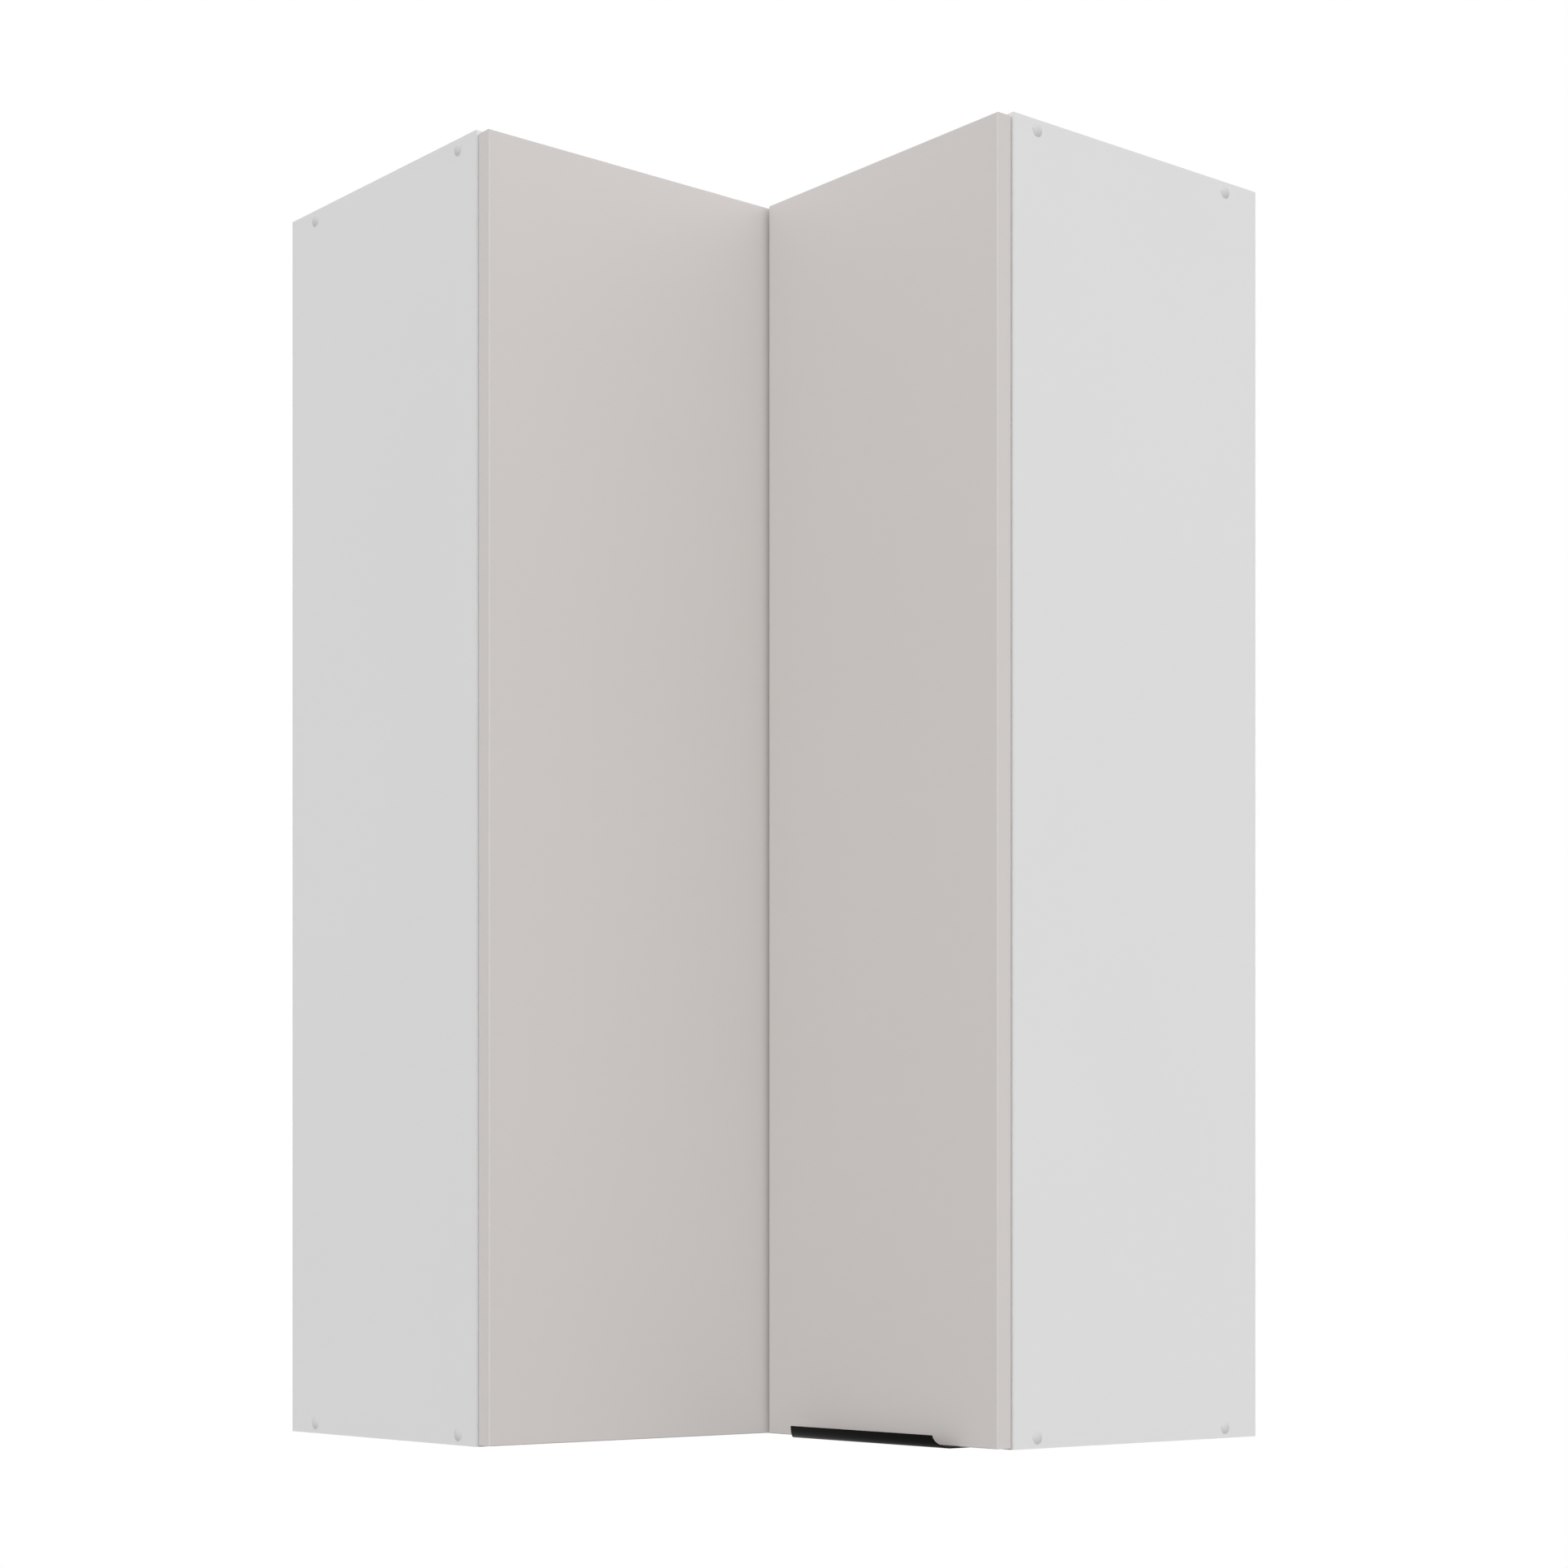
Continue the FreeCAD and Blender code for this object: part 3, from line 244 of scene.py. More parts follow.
def turned(name, rings, sides=32):
    """A round piece that stands on Z, from rings of a radius and a level in millimetres."""
    (radius, level), *others = rings
    deselect()
    bpy.ops.mesh.primitive_circle_add(vertices=sides, radius=radius * MM, fill_type="NGON",
                                      location=(0, 0, level * MM))
    piece = settle(bpy.context.object, name)
    bpy.ops.object.mode_set(mode="EDIT")
    bpy.ops.mesh.select_all(action="SELECT")
    for next_radius, next_level in others:
        grow = next_radius / radius
        bpy.ops.mesh.extrude_region_move(
            TRANSFORM_OT_translate={"value": (0, 0, (next_level - level) * MM)})
        bpy.ops.transform.resize(value=(grow, grow, 1), center_override=(0, 0, next_level * MM))
        radius, level = next_radius, next_level
    bpy.ops.mesh.select_all(action="SELECT")
    bpy.ops.mesh.normals_make_consistent(inside=False)
    bpy.ops.object.mode_set(mode="OBJECT")
    shade_smooth()
    return piece


# %% [markdown]
# ## Shader helpers
#
# A shader is a small formula. Its nodes could be linked one by one, but that hides the
# formula. The class below lets it be written as Python: `0.4 + 0.05 * grain` adds the
# two Math nodes that it needs.

# %% Shader maths
class Value:
    """One output of a shader node, which Python's operators can combine."""

    def __init__(self, shader, socket):
        self.shader = shader
        self.socket = socket

    def maths(self, operation, first, second):
        return self.shader.node("Math", {"operation": operation}, {0: first, 1: second})

    def __add__(self, other):
        return self.maths("ADD", self, other)

    def __radd__(self, other):
        return self.maths("ADD", other, self)

    def __sub__(self, other):
        return self.maths("SUBTRACT", self, other)

    def __rsub__(self, other):
        return self.maths("SUBTRACT", other, self)

    def __mul__(self, other):
        return self.maths("MULTIPLY", self, other)

    def __rmul__(self, other):
        return self.maths("MULTIPLY", other, self)

    def __gt__(self, other):
        return self.maths("GREATER_THAN", self, other)

    def __lt__(self, other):
        return self.maths("LESS_THAN", self, other)

    def __or__(self, other):
        return self.maths("MAXIMUM", self, other)

    def __and__(self, other):
        return self.maths("MINIMUM", self, other)


# %% [markdown]
# Every other node comes from one method, `node`, and the methods after it only name
# the few nodes that the finishes share. All patterns read Object coordinates, in
# metres, so a grain has the same real size on every board.

# %% A node tree
class Shader:
    """The node tree of a new material or of the world."""

    def __init__(self, owner):
        owner.use_nodes = True
        self.owner = owner
        self.tree = owner.node_tree
        self.tree.nodes.clear()

    def node(self, kind, settings=None, sockets=None, output=0):
        """Add a node: its settings first, then the values or links of its sockets."""
        item = self.tree.nodes.new(f"ShaderNode{kind}")
        for key, setting in (settings or {}).items():
            setattr(item, key, setting)
        for key, given in (sockets or {}).items():
            if isinstance(given, Value):
                self.tree.links.new(given.socket, item.inputs[key])
            elif isinstance(given, tuple) and item.inputs[key].type == "RGBA":
                item.inputs[key].default_value = (*given, 1)
            else:
                item.inputs[key].default_value = given
        return Value(self, item.outputs[output]) if len(item.outputs) else None

    def place(self):
        """Object coordinates, in metres."""
        return self.node("TexCoord", output="Object")

    def axes(self, vector):
        """The three numbers of a vector."""
        split = self.node("SeparateXYZ", sockets={0: vector})
        return [Value(self, socket) for socket in split.socket.node.outputs]

    def noise(self, size, detail=2.0):
        """Noise from 0 to 1 whose lumps are about size metres across."""
        return self.node("TexNoise", sockets={"Vector": self.place(), "Scale": 1 / size,
                                              "Detail": detail})

    def blend(self, mask, first, second):
        """One colour where the mask is 0, another where it is 1."""
        return self.node("Mix", {"data_type": "RGBA"}, {0: mask, 6: first, 7: second}, output=2)

    def bump(self, height, distance, strength):
        """A normal that follows a height, in metres."""
        return self.node("Bump", sockets={"Height": height, "Distance": distance,
                                          "Strength": strength})

    def surface(self, **sockets):
        """The Principled shader and the material's output."""
        names = {key.replace("_", " ").title().replace("Ior", "IOR"): given
                 for key, given in sockets.items()}
        shade = self.node("BsdfPrincipled", sockets=names)
        self.node("OutputMaterial", sockets={"Surface": shade})
        return self.owner


def finish(name):
    """The empty shader of a new material."""
    return Shader(bpy.data.materials.new(name))


# %% [markdown]
# ## White laminated board
#
# The carcass is chipboard faced with white melamine. The face has a barely visible
# pearl: a bump a few hundredths of a millimetre deep. Every edge that shows is
# banded, with a hairline of glue behind the band, but the edges that stand against
# the wall are left raw, so there the colour changes to chips of wood. A picture of
# a board could be used, but it would have to be laid out on every face, and a pattern
# on Object coordinates needs no layout.

# %% White board
band_thickness, glue_line = 0.75 * MM, 0.12 * MM
wall_slack = 0.05 * MM


def chip_colour(shader):
    """Raw chipboard: pale and dark chips pressed together."""
    chips_per_metre = 420.0
    chips = shader.node("TexVoronoi", sockets={"Vector": shader.place(), "Scale": chips_per_metre},
                        output="Color")
    pale = shader.axes(chips)[0]
    wood = shader.blend(pale, (0.30, 0.20, 0.11), (0.62, 0.48, 0.31))
    dust = shader.noise(4 * MM)
    return shader.blend(0.35 * dust, wood, (0.50, 0.38, 0.25))


def joint_line(coordinate, front):
    """1 on the fine glue line behind an edge band that starts at a front plane."""
    glue_start = front + band_thickness
    return (coordinate > glue_start) & (coordinate < glue_start + glue_line)


def white_board():
    shader = finish("white melamine")
    x, y, _ = shader.axes(shader.place())
    raw = (x > wall_x - wall_slack) | (y > wall_y - wall_slack)
    glue = joint_line(y, left_low.y) | joint_line(x, right_low.x)
    tone = shader.noise(180 * MM)
    white = shader.blend(tone, (0.70, 0.70, 0.70), (0.715, 0.715, 0.715))
    banded = shader.blend(glue, white, (0.50, 0.49, 0.47))
    pearl = shader.noise(1.6 * MM, detail=3.0)
    return shader.surface(
        base_color=shader.blend(raw, banded, chip_colour(shader)),
        roughness=0.42 + 0.06 * pearl + 0.35 * raw,
        normal=shader.bump(pearl, distance=0.02 * MM, strength=0.5))


# %% [markdown]
# ## Door board
#
# The doors are coated in a matt warm grey, face and edges alike. The coat is
# smoother than the carcass, with a slow drift of tone that only a long door shows.
# A plain colour would do from afar, but it looks like paper on a face this large.

# %% Warm grey door board
def door_front():
    shader = finish("warm grey coat")
    tone = shader.noise(250 * MM)
    grain = shader.noise(1.2 * MM, detail=3.0)
    return shader.surface(
        base_color=shader.blend(tone, (0.603, 0.572, 0.557), (0.615, 0.584, 0.569)),
        roughness=0.46 + 0.06 * grain,
        normal=shader.bump(grain, distance=0.015 * MM, strength=0.5))


# %% [markdown]
# ## The handle's black coat
#
# Powder coat on steel dries with a fine orange peel, which breaks up its highlight.
# The coat is nearly matt, so its reflection is held well below that of a varnish.

# %% Black powder coat
def black_handle():
    shader = finish("black powder coat")
    peel = shader.noise(0.9 * MM, detail=1.0)
    return shader.surface(
        base_color=(0.005, 0.005, 0.0047),
        roughness=0.30 + 0.08 * peel,
        specular_ior_level=0.03,
        normal=shader.bump(peel, distance=0.03 * MM, strength=0.6))


# %% [markdown]
# ## Plastics
#
# The caps, covers and housings are moulded, so they are a little glossier than the
# board, with the faint unevenness of a mould. One function makes them all.

# %% Plastics
def plastic(name, colour, roughness):
    shader = finish(name)
    moulding = shader.noise(1.5 * MM)
    return shader.surface(
        base_color=shader.blend(moulding, colour, tuple(0.985 * part for part in colour)),
        roughness=roughness + 0.06 * moulding,
        normal=shader.bump(moulding, distance=0.01 * MM, strength=0.4))


# %% [markdown]
# ## Backs and stiles
#
# A hardboard back is white towards the shelves and brown, felted fibre towards the
# wall. The face's own normal tells the two apart, so the back stays one piece. The
# stiles behind it are raw chipboard.

# %% Hardboard and raw chipboard
def hardboard():
    shader = finish("hardboard")
    facing_x, facing_y, _ = shader.axes(shader.node("TexCoord", output="Normal"))
    behind = (facing_x > 0.5) | (facing_y > 0.5)
    felt = shader.noise(1.2 * MM, detail=4.0)
    brown = shader.blend(felt, (0.17, 0.095, 0.05), (0.26, 0.155, 0.085))
    return shader.surface(
        base_color=shader.blend(behind, (0.69, 0.69, 0.685), brown),
        roughness=0.5 + 0.3 * behind,
        normal=shader.bump(felt, distance=0.05 * MM, strength=0.5))


def raw_board():
    shader = finish("raw chipboard")
    dust = shader.noise(2 * MM, detail=3.0)
    return shader.surface(
        base_color=chip_colour(shader),
        roughness=0.75 + 0.1 * dust,
        normal=shader.bump(dust, distance=0.1 * MM, strength=0.5))


# %% [markdown]
# ## Metals
#
# Hinges are nickel plated and screws zinc plated. A plating is a mirror that is
# slightly clouded, so a soft noise moves its colour and roughness by a few per cent.

# %% Metals
def metal(name, colour, roughness):
    shader = finish(name)
    cloud = shader.noise(3 * MM, detail=3.0)
    return shader.surface(
        base_color=shader.blend(cloud, colour, tuple(0.95 * part for part in colour)),
        metallic=1.0,
        roughness=roughness + 0.06 * cloud,
        normal=shader.bump(cloud, distance=0.004 * MM, strength=0.2))


# %% [markdown]
# ## Finishes onto the measured nodes
#
# The record names a finish for every node, so one loop dresses them all. A new piece
# is dressed by `dress`, which also puts it on the body that it rides on and hides the
# measured nodes that it stands for.

# %% Dress the nodes
finishes = {
    "white_board": white_board(),
    "door_front": door_front(),
    "black_handle": black_handle(),
    "cap_plastic": plastic("cap plastic", (0.605, 0.605, 0.60), 0.38),
    "hardboard": hardboard(),
    "raw_board": raw_board(),
    "housing_plastic": plastic("housing plastic", (0.60, 0.60, 0.59), 0.45),
    "cover_plastic": plastic("cover plastic", (0.72, 0.72, 0.71), 0.40),
    "zinc_steel": metal("zinc plate", (0.62, 0.62, 0.60), 0.30),
    "hinge_steel": metal("nickel plate", (0.66, 0.64, 0.60), 0.22),
    "clear_bumper": plastic("clear pad", (0.66, 0.66, 0.66), 0.25),
}


def wear(piece, slot):
    """Give a piece one finish and no other."""
    piece.data.materials.clear()
    piece.data.materials.append(finishes[slot])


for row in frame["record"]["subparts"]:
    wear(frame["nodes"][row["node"]], row["material_slot"])
print("finishes:", len(finishes))


def dress(piece, slot, body, *nodes):
    """Give a new piece its finish and body, and hide the measured nodes that it stands for."""
    wear(piece, slot)
    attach(piece, body)
    if nodes:
        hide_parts(*nodes)
    print("made", piece.name, "with", len(piece.data.polygons), "faces")


# %% [markdown]
# ## Screw caps
#
# Each end panel has four plastic caps, a shallow dome over a sunk screw. A cap could
# be built up from rings, but a dome this shallow is simply the top of a large sphere.
# So a sphere is added with its centre inside the panel, and everything behind the
# panel's face is cut away with a bisect.

# %% Domed caps
towards_x, towards_y = Vector((1, 0, 0)), Vector((0, 1, 0))
cap_radius, cap_rise = 5.5 * MM, 1.2 * MM
cap_sink = 0.02 * MM
crown_radius = (cap_radius ** 2 + cap_rise ** 2) / (2 * cap_rise)
front_margin, rear_margin = 28 * MM, 40 * MM
panels = {
    "left": {"face": outer_x, "front": left_low.y, "wall": wall_y, "inward": towards_x,
             "tilt": (0, math.radians(-90), 0)},
    "right": {"face": outer_y, "front": right_low.x, "wall": wall_x, "inward": towards_y,
              "tilt": (math.radians(90), 0, 0)},
}


def cap_dome(side, deep, level):
    """One dome on an end panel, at a depth along the panel and a level."""
    panel = panels[side]
    inside = panel["face"] - cap_rise + crown_radius
    centre = (inside, deep, level) if side == "left" else (deep, inside, level)
    deselect()
    bpy.ops.mesh.primitive_uv_sphere_add(segments=48, ring_count=96, radius=crown_radius,
                                         location=centre, rotation=panel["tilt"])
    dome = settle(bpy.context.object, "dome")
    bpy.ops.object.mode_set(mode="EDIT")
    bpy.ops.mesh.select_all(action="SELECT")
    bpy.ops.mesh.bisect(plane_co=panel["inward"] * (panel["face"] + cap_sink),
                        plane_no=panel["inward"], use_fill=True, clear_outer=True)
    bpy.ops.object.mode_set(mode="OBJECT")
    shade_smooth(degrees=20)
    return dome


for side, panel in panels.items():
    depths = (panel["front"] + front_margin, panel["wall"] - rear_margin)
    domes = [cap_dome(side, deep, level) for level in (board / 2, cabinet_height - board / 2)
             for deep in depths]
    dress(join(domes, f"{side}_caps"), "cap_plastic", "carcass", f"{side}_screw_caps")

# %% [markdown]
# ## Edge handle
#
# The real handle is one strip of steel, bent: a flange let into the door's back, a
# web under the door and a lip that curls up in front. It could be carved from a
# block, but a strip keeps one thickness all the way round. A plane lies where the
# web's underside is, its front edge is spun about the bend's centre, and its rear
# edge is extruded up.

# %% The handle's strip
handle_low, handle_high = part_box("edge_handle")
bend_radius, bend_steps = 12 * MM, 20
lip_angle = math.radians(85)
handle_middle = (handle_low.y + handle_high.y) / 2
handle_half = (handle_high.y - handle_low.y) / 2
bend_start = handle_low.x + bend_radius * math.sin(lip_angle)
bend_centre = (bend_start, 0, handle_low.z + bend_radius)

deselect()
web_middle = Vector(((bend_start + handle_high.x) / 2, handle_middle, handle_low.z))
bpy.ops.mesh.primitive_plane_add(size=1, location=web_middle)
handle = bpy.context.object
handle.scale = (handle_high.x - bend_start, 2 * handle_half, 1)
settle(handle, "handle")
bpy.ops.object.mode_set(mode="EDIT")
select_edges(handle, lambda a, b: max(a.x, b.x) < bend_start + near)
bpy.ops.mesh.spin(steps=bend_steps, angle=lip_angle, center=bend_centre, axis=(0, -1, 0))
select_edges(handle, lambda a, b: min(a.x, b.x) > handle_high.x - near)
bpy.ops.mesh.extrude_region_move(
    TRANSFORM_OT_translate={"value": (0, 0, handle_high.z - handle_low.z)})
bpy.ops.object.mode_set(mode="OBJECT")
print("strip faces:", len(handle.data.polygons))

# %% [markdown]
# Each end is cut along a plane that stands upright through the bend's start and the
# lip's tip. Then Solidify gives the sheet its thickness inwards, so that the outside
# stays where it was drawn, and a small bevel softens the cut edges.

# %% The handle's ends and thickness
lip_half = 91.8 * MM
sheet_thickness, edge_round = 1.2 * MM, 0.3 * MM
cut_threshold = 1e-6
bpy.ops.object.mode_set(mode="EDIT")
for way in (-1, 1):
    bend_point = Vector((bend_start, handle_middle + way * handle_half, 0))
    lip_point = Vector((handle_low.x, handle_middle + way * lip_half, 0))
    along = bend_point - lip_point
    across_cut = Vector((-way * along.y, way * along.x, 0)).normalized()
    bpy.ops.mesh.select_all(action="SELECT")
    bpy.ops.mesh.bisect(plane_co=bend_point, plane_no=across_cut, threshold=cut_threshold,
                        clear_outer=True)
bpy.ops.mesh.select_all(action="SELECT")
bpy.ops.mesh.normals_make_consistent(inside=False)
bpy.ops.object.mode_set(mode="OBJECT")
sheet = handle.modifiers.new("sheet", "SOLIDIFY")
sheet.thickness = sheet_thickness
sheet.offset = -1
finish_modifiers(handle)
round_edges(handle, edge_round)
dress(handle, "black_handle", "right_door", "edge_handle")

# %% [markdown]
# ## Screws and pins
#
# A wood screw's head is a low dome with a cross stamped into it. A dome, a neck and a
# tapering shank are all rings about one axis, so a disc is drawn up ring by ring. Then
# two thin bars, crossed, are carved out of its top. One screw is made and copied to
# every place. A thread could be wound round the shank, but it would be inside a board,
# so it is left out.

# %% One wood screw
def cross_recess(screw, top, reach, wide, deep):
    """Carve a cross into a head whose top is at a level, all in millimetres."""
    floor_round, above = 0.25, 1
    for first, second in ((reach, wide / 2), (wide / 2, reach)):
        bar = slab("bar", (-first * MM, -second * MM, (top - deep) * MM),
                   (first * MM, second * MM, (top + above) * MM))
        bevel_where(bar, width=floor_round * MM, segments=1,
                    test=lambda a, b: max(a.z, b.z) < (top - deep) * MM + near)
        carve(screw, bar)


wood_screw = turned("wood_screw", [
    (0.4, -9.9), (1.8, -8), (1.8, 0), (3.6, 0), (3.6, 0.3), (3.4, 0.75), (2.9, 1.15), (2.2, 1.4),
    (1.3, 1.5)])
cross_recess(wood_screw, top=1.5, reach=2.1, wide=0.9, deep=1.0)
print("screw faces:", len(wood_screw.data.polygons))

# %% [markdown]
# A hinge's parts are easiest to place in the hinge's own frame. It stands on the
# line that the door turns about: "along" runs from the door's edge into the door,
# and "deep" runs from the door's face to its back and on into the cabinet. A hinge
# could be drawn twice instead, but one frame serves the side and the corner hinges.

# %% Hinge frame
hinge_turn = {"side": 0.0, "corner": math.radians(-90)}
deep_axis = {"side": towards_y, "corner": towards_x}
plate_axis = {"side": towards_x, "corner": towards_y}
hinge_levels = {}
for hinge in ("low", "middle", "top"):
    arm_low, arm_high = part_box(f"side_hinge_{hinge}_arm")
    hinge_levels[hinge] = (arm_low.z + arm_high.z) / 2
print("hinge levels:", {hinge: round(level, 3) for hinge, level in hinge_levels.items()})


def on_hinge(kind, along, deep, level):
    """A point of the cabinet, from millimetres in a hinge's frame and a level in metres."""
    if kind == "side":
        return Vector((left_door_low.x + along * MM, left_door_low.y + deep * MM, level))
    return Vector((right_door_low.x + deep * MM, right_door_high.y - along * MM, level))


def facing(axis):
    """The turn that stands a piece made on Z along another axis."""
    return axis.to_track_quat("Z", "Y").to_euler()


# %% [markdown]
# A mounting plate takes two screws, one over the other, and so does a cup's flange. The
# seats are worked out from the boards that the screws hold on to.

# %% Screws in their places
plate_thickness, plate_margin, corner_plate_margin = 2, 37, 12
plate_screw_half, cup_screw_half = 16, 22.5
cup_screw_along, cup_screw_deep = 31.5, 17
plate_seat = {
    "side": Vector((left_high.x + plate_thickness * MM, left_low.y + plate_margin * MM, 0)),
    "corner": Vector((right_door_low.x - corner_plate_margin * MM,
                      left_door_high.y + plate_thickness * MM, 0)),
}
screw_sets = {"side_plate": [], "side_cup": [], "corner_plate": [], "corner_cup": []}
for kind in ("side", "corner"):
    for level in hinge_levels.values():
        for way in (-1, 1):
            plate_spot = plate_seat[kind] + Vector((0, 0, level + way * plate_screw_half * MM))
            cup_spot = on_hinge(kind, cup_screw_along, cup_screw_deep,
                                level + way * cup_screw_half * MM)
            screw_sets[f"{kind}_plate"].append(
                copy_to(wood_screw, "screw", plate_spot, facing(plate_axis[kind])))
            screw_sets[f"{kind}_cup"].append(
                copy_to(wood_screw, "screw", cup_spot, facing(deep_axis[kind])))
left_leaf = screw_sets["side_cup"] + screw_sets["corner_plate"]
dress(join(screw_sets["side_plate"], "left_panel_screws"), "zinc_steel", "carcass",
      "side_plate_screws")
dress(join(left_leaf, "left_leaf_screws"), "zinc_steel", "left_door", "left_door_screws")
dress(join(screw_sets["corner_cup"], "right_leaf_screws"), "zinc_steel", "right_door",
      "right_door_screws")
drop(wood_screw)

# %% [markdown]
# The shelves lie on turned steel pins. Each has a rounded tip and a shallow groove,
# which shows from below. Four pins stand in the end panels and two go through the
# backs into the corner stiles, so an L-shaped shelf is held at its ends and its corner.

# %% Shelf pins
pin_radius, pin_row_margin, pin_corner_margin = 2.45, 37, 40
pin = turned("pin", [
    (2.3, -9.95), (pin_radius, -9.6), (pin_radius, 1.6), (2.2, 1.8), (2.2, 2.5), (pin_radius, 2.7),
    (pin_radius, 7.3), (2.2, 7.8), (1.8, 8)], sides=24)
back_low, back_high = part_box("left_back")
front_row, rear_row = left_low.y + pin_row_margin * MM, back_low.y - pin_row_margin * MM
corner_row = back_high.y - pin_corner_margin * MM
pins = []
for shelf in ("lower_shelf", "middle_shelf", "upper_shelf"):
    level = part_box(shelf)[0].z - pin_radius * MM
    for row in (front_row, rear_row):
        pins.append(copy_to(pin, "pin", (left_high.x, row, level), facing(towards_x)))
        pins.append(copy_to(pin, "pin", (row, right_high.y, level), facing(towards_y)))
    pins.append(copy_to(pin, "pin", (corner_row, back_low.y, level), facing(-towards_y)))
    pins.append(copy_to(pin, "pin", (back_low.y, corner_row, level), facing(-towards_x)))
dress(join(pins, "smooth_shelf_pins"), "zinc_steel", "carcass", "shelf_pins")
drop(pin)

# %% [markdown]
# ## Hinge cups
#
# A cup is drawn from sheet: a round pot sunk into the door, a flat rim and a flange
# with rounded ends under its two screws. It could be turned like a screw, but its
# flange and its slot aren't round. So the pot is a short bar with its lower edge
# rounded over, the flange is united with it, and a shallow round recess and the slot
# for the links are carved out. The pin crosses the slot.

# %% Bars in millimetres
upright = (0, 0, 1)


def in_mm(*parts):
    """A point in metres, from its coordinates in millimetres."""
    return tuple(part * MM for part in parts)


def mm_rod(name, start, axis, radius, length, sides=48):
    """A round bar in millimetres."""
    return rod(name, in_mm(*start), axis, radius * MM, length * MM, sides)


# %% The cup's pot, rim and flange
cup_along, pot_floor, door_back = 22, 4.05, 16
pot_radius, rim_radius = 17.4, 18.2
flange_front, flange_rear, flange_half = 24, 39, 28
flange_low, flange_top, rim_height = door_back - 0.5, door_back + 1, 0.85
cup = mm_rod("cup", (cup_along, pot_floor, 0), towards_y, pot_radius, door_back - pot_floor,
             sides=72)
bevel_where(cup, width=2.5 * MM, segments=5,
            test=lambda a, b: max(a.y, b.y) < pot_floor * MM + near)
flange = slab("flange", in_mm(flange_front, flange_low, -flange_half),
              in_mm(flange_rear, flange_top, flange_half))
bevel_where(flange, width=6 * MM, segments=8, test=runs_along(1))
rim = mm_rod("rim", (cup_along, flange_low, 0), towards_y, rim_radius, rim_height, sides=72)
carve(cup, flange, "UNION")
carve(cup, rim, "UNION")
print("cup faces before its inside:", len(cup.data.polygons))

# %% The cup's inside and pin
recess_radius, recess_low, recess_height = 15.8, 14, 5
slot_front, slot_rear, slot_half, above_cup = 6.8, 36.8, 5, 20
cup_pin_along, cup_pin_deep = 22.5, 9.8
cup_pin_half, hinge_pin_radius = 5.5, 1.5
recess = mm_rod("recess", (cup_along, recess_low, 0), towards_y, recess_radius, recess_height,
                sides=72)
carve(cup, recess)
slot = slab("slot", in_mm(slot_front, pot_floor + 1, -slot_half),
            in_mm(slot_rear, above_cup, slot_half))
bevel_where(slot, width=1.2 * MM, segments=4, test=runs_along(1))
carve(cup, slot)
round_edges(cup, width=0.2 * MM, segments=2)
cup_pin = mm_rod("cup_pin", (cup_pin_along, cup_pin_deep, -cup_pin_half), upright,
                 hinge_pin_radius, 2 * cup_pin_half, sides=24)
cup = join([cup, cup_pin], "cup")
shade_smooth(degrees=30)
print("cup faces:", len(cup.data.polygons))

# %% [markdown]
# ## Hinge links
#
# Two links of each hinge cross like scissors. A link is a flat bar with round ends.
# It could be two discs and a block, united, but a short round bar whose one half is
# pushed away along the link has no seams. The front link is a single thick bar, and
# the rear one is two thin cheeks with the middle pin between.

# %% Link bars
def link_bar(name, length, half, low, high):
    """A bar along X with round ends about its two pins, in millimetres."""
    bar = mm_rod(name, (0, 0, low), upright, half, high - low)

    def is_far_wall(centre, normal):
        return centre.x > 0.01 * half * MM and abs(normal.z) < 0.5

    bpy.ops.object.mode_set(mode="EDIT")
    select_faces(bar, is_far_wall)
    bpy.ops.transform.translate(value=(length * MM, 0, 0))
    bpy.ops.object.mode_set(mode="OBJECT")
    round_edges(bar, width=0.3 * MM, segments=2)
    return bar


# %% Front link
front_span, front_angle = 37.0, math.radians(38)
front_half_width, front_half = 2.75, 3.2
front_link = link_bar("front_link", front_span, front_half_width, -front_half, front_half)
put(front_link, "front_link", (cup_pin_along * MM, cup_pin_deep * MM, 0), (0, 0, front_angle))
print("front link faces:", len(front_link.data.polygons))

# %% Rear link
cheek_span = math.hypot(cup_pin_along, cup_pin_deep)
cheek_angle = math.atan2(cup_pin_deep, cup_pin_along)
cheek_half_width, cheek_inside, cheek_outside = 3.4, 4.5, 6.0
ear_x, ear_y = front_span * math.cos(front_angle), front_span * math.sin(front_angle)
cheeks = [link_bar("cheek", cheek_span, cheek_half_width, cheek_inside, cheek_outside),
          link_bar("cheek", cheek_span, cheek_half_width, -cheek_outside, -cheek_inside)]
middle_pin = mm_rod("middle_pin", (cheek_span, 0, -cheek_outside), upright, hinge_pin_radius,
                    2 * cheek_outside, sides=24)
rear_link = join([*cheeks, middle_pin], "rear_link")
put(rear_link, "rear_link", (ear_x * MM, ear_y * MM, 0), (0, 0, cheek_angle))
print("rear link faces:", len(rear_link.data.polygons))

# %% [markdown]
# The cup rides on the door that hangs: the left door on the side hinges, and the right
# door on the corner hinges. The links ride on bodies of their own, one for the front
# links of a row of hinges and one for its rear links. A hinge could be modelled where
# it hangs, but then it would be modelled six times, so it is made once, at the origin,
# and turned into its places.

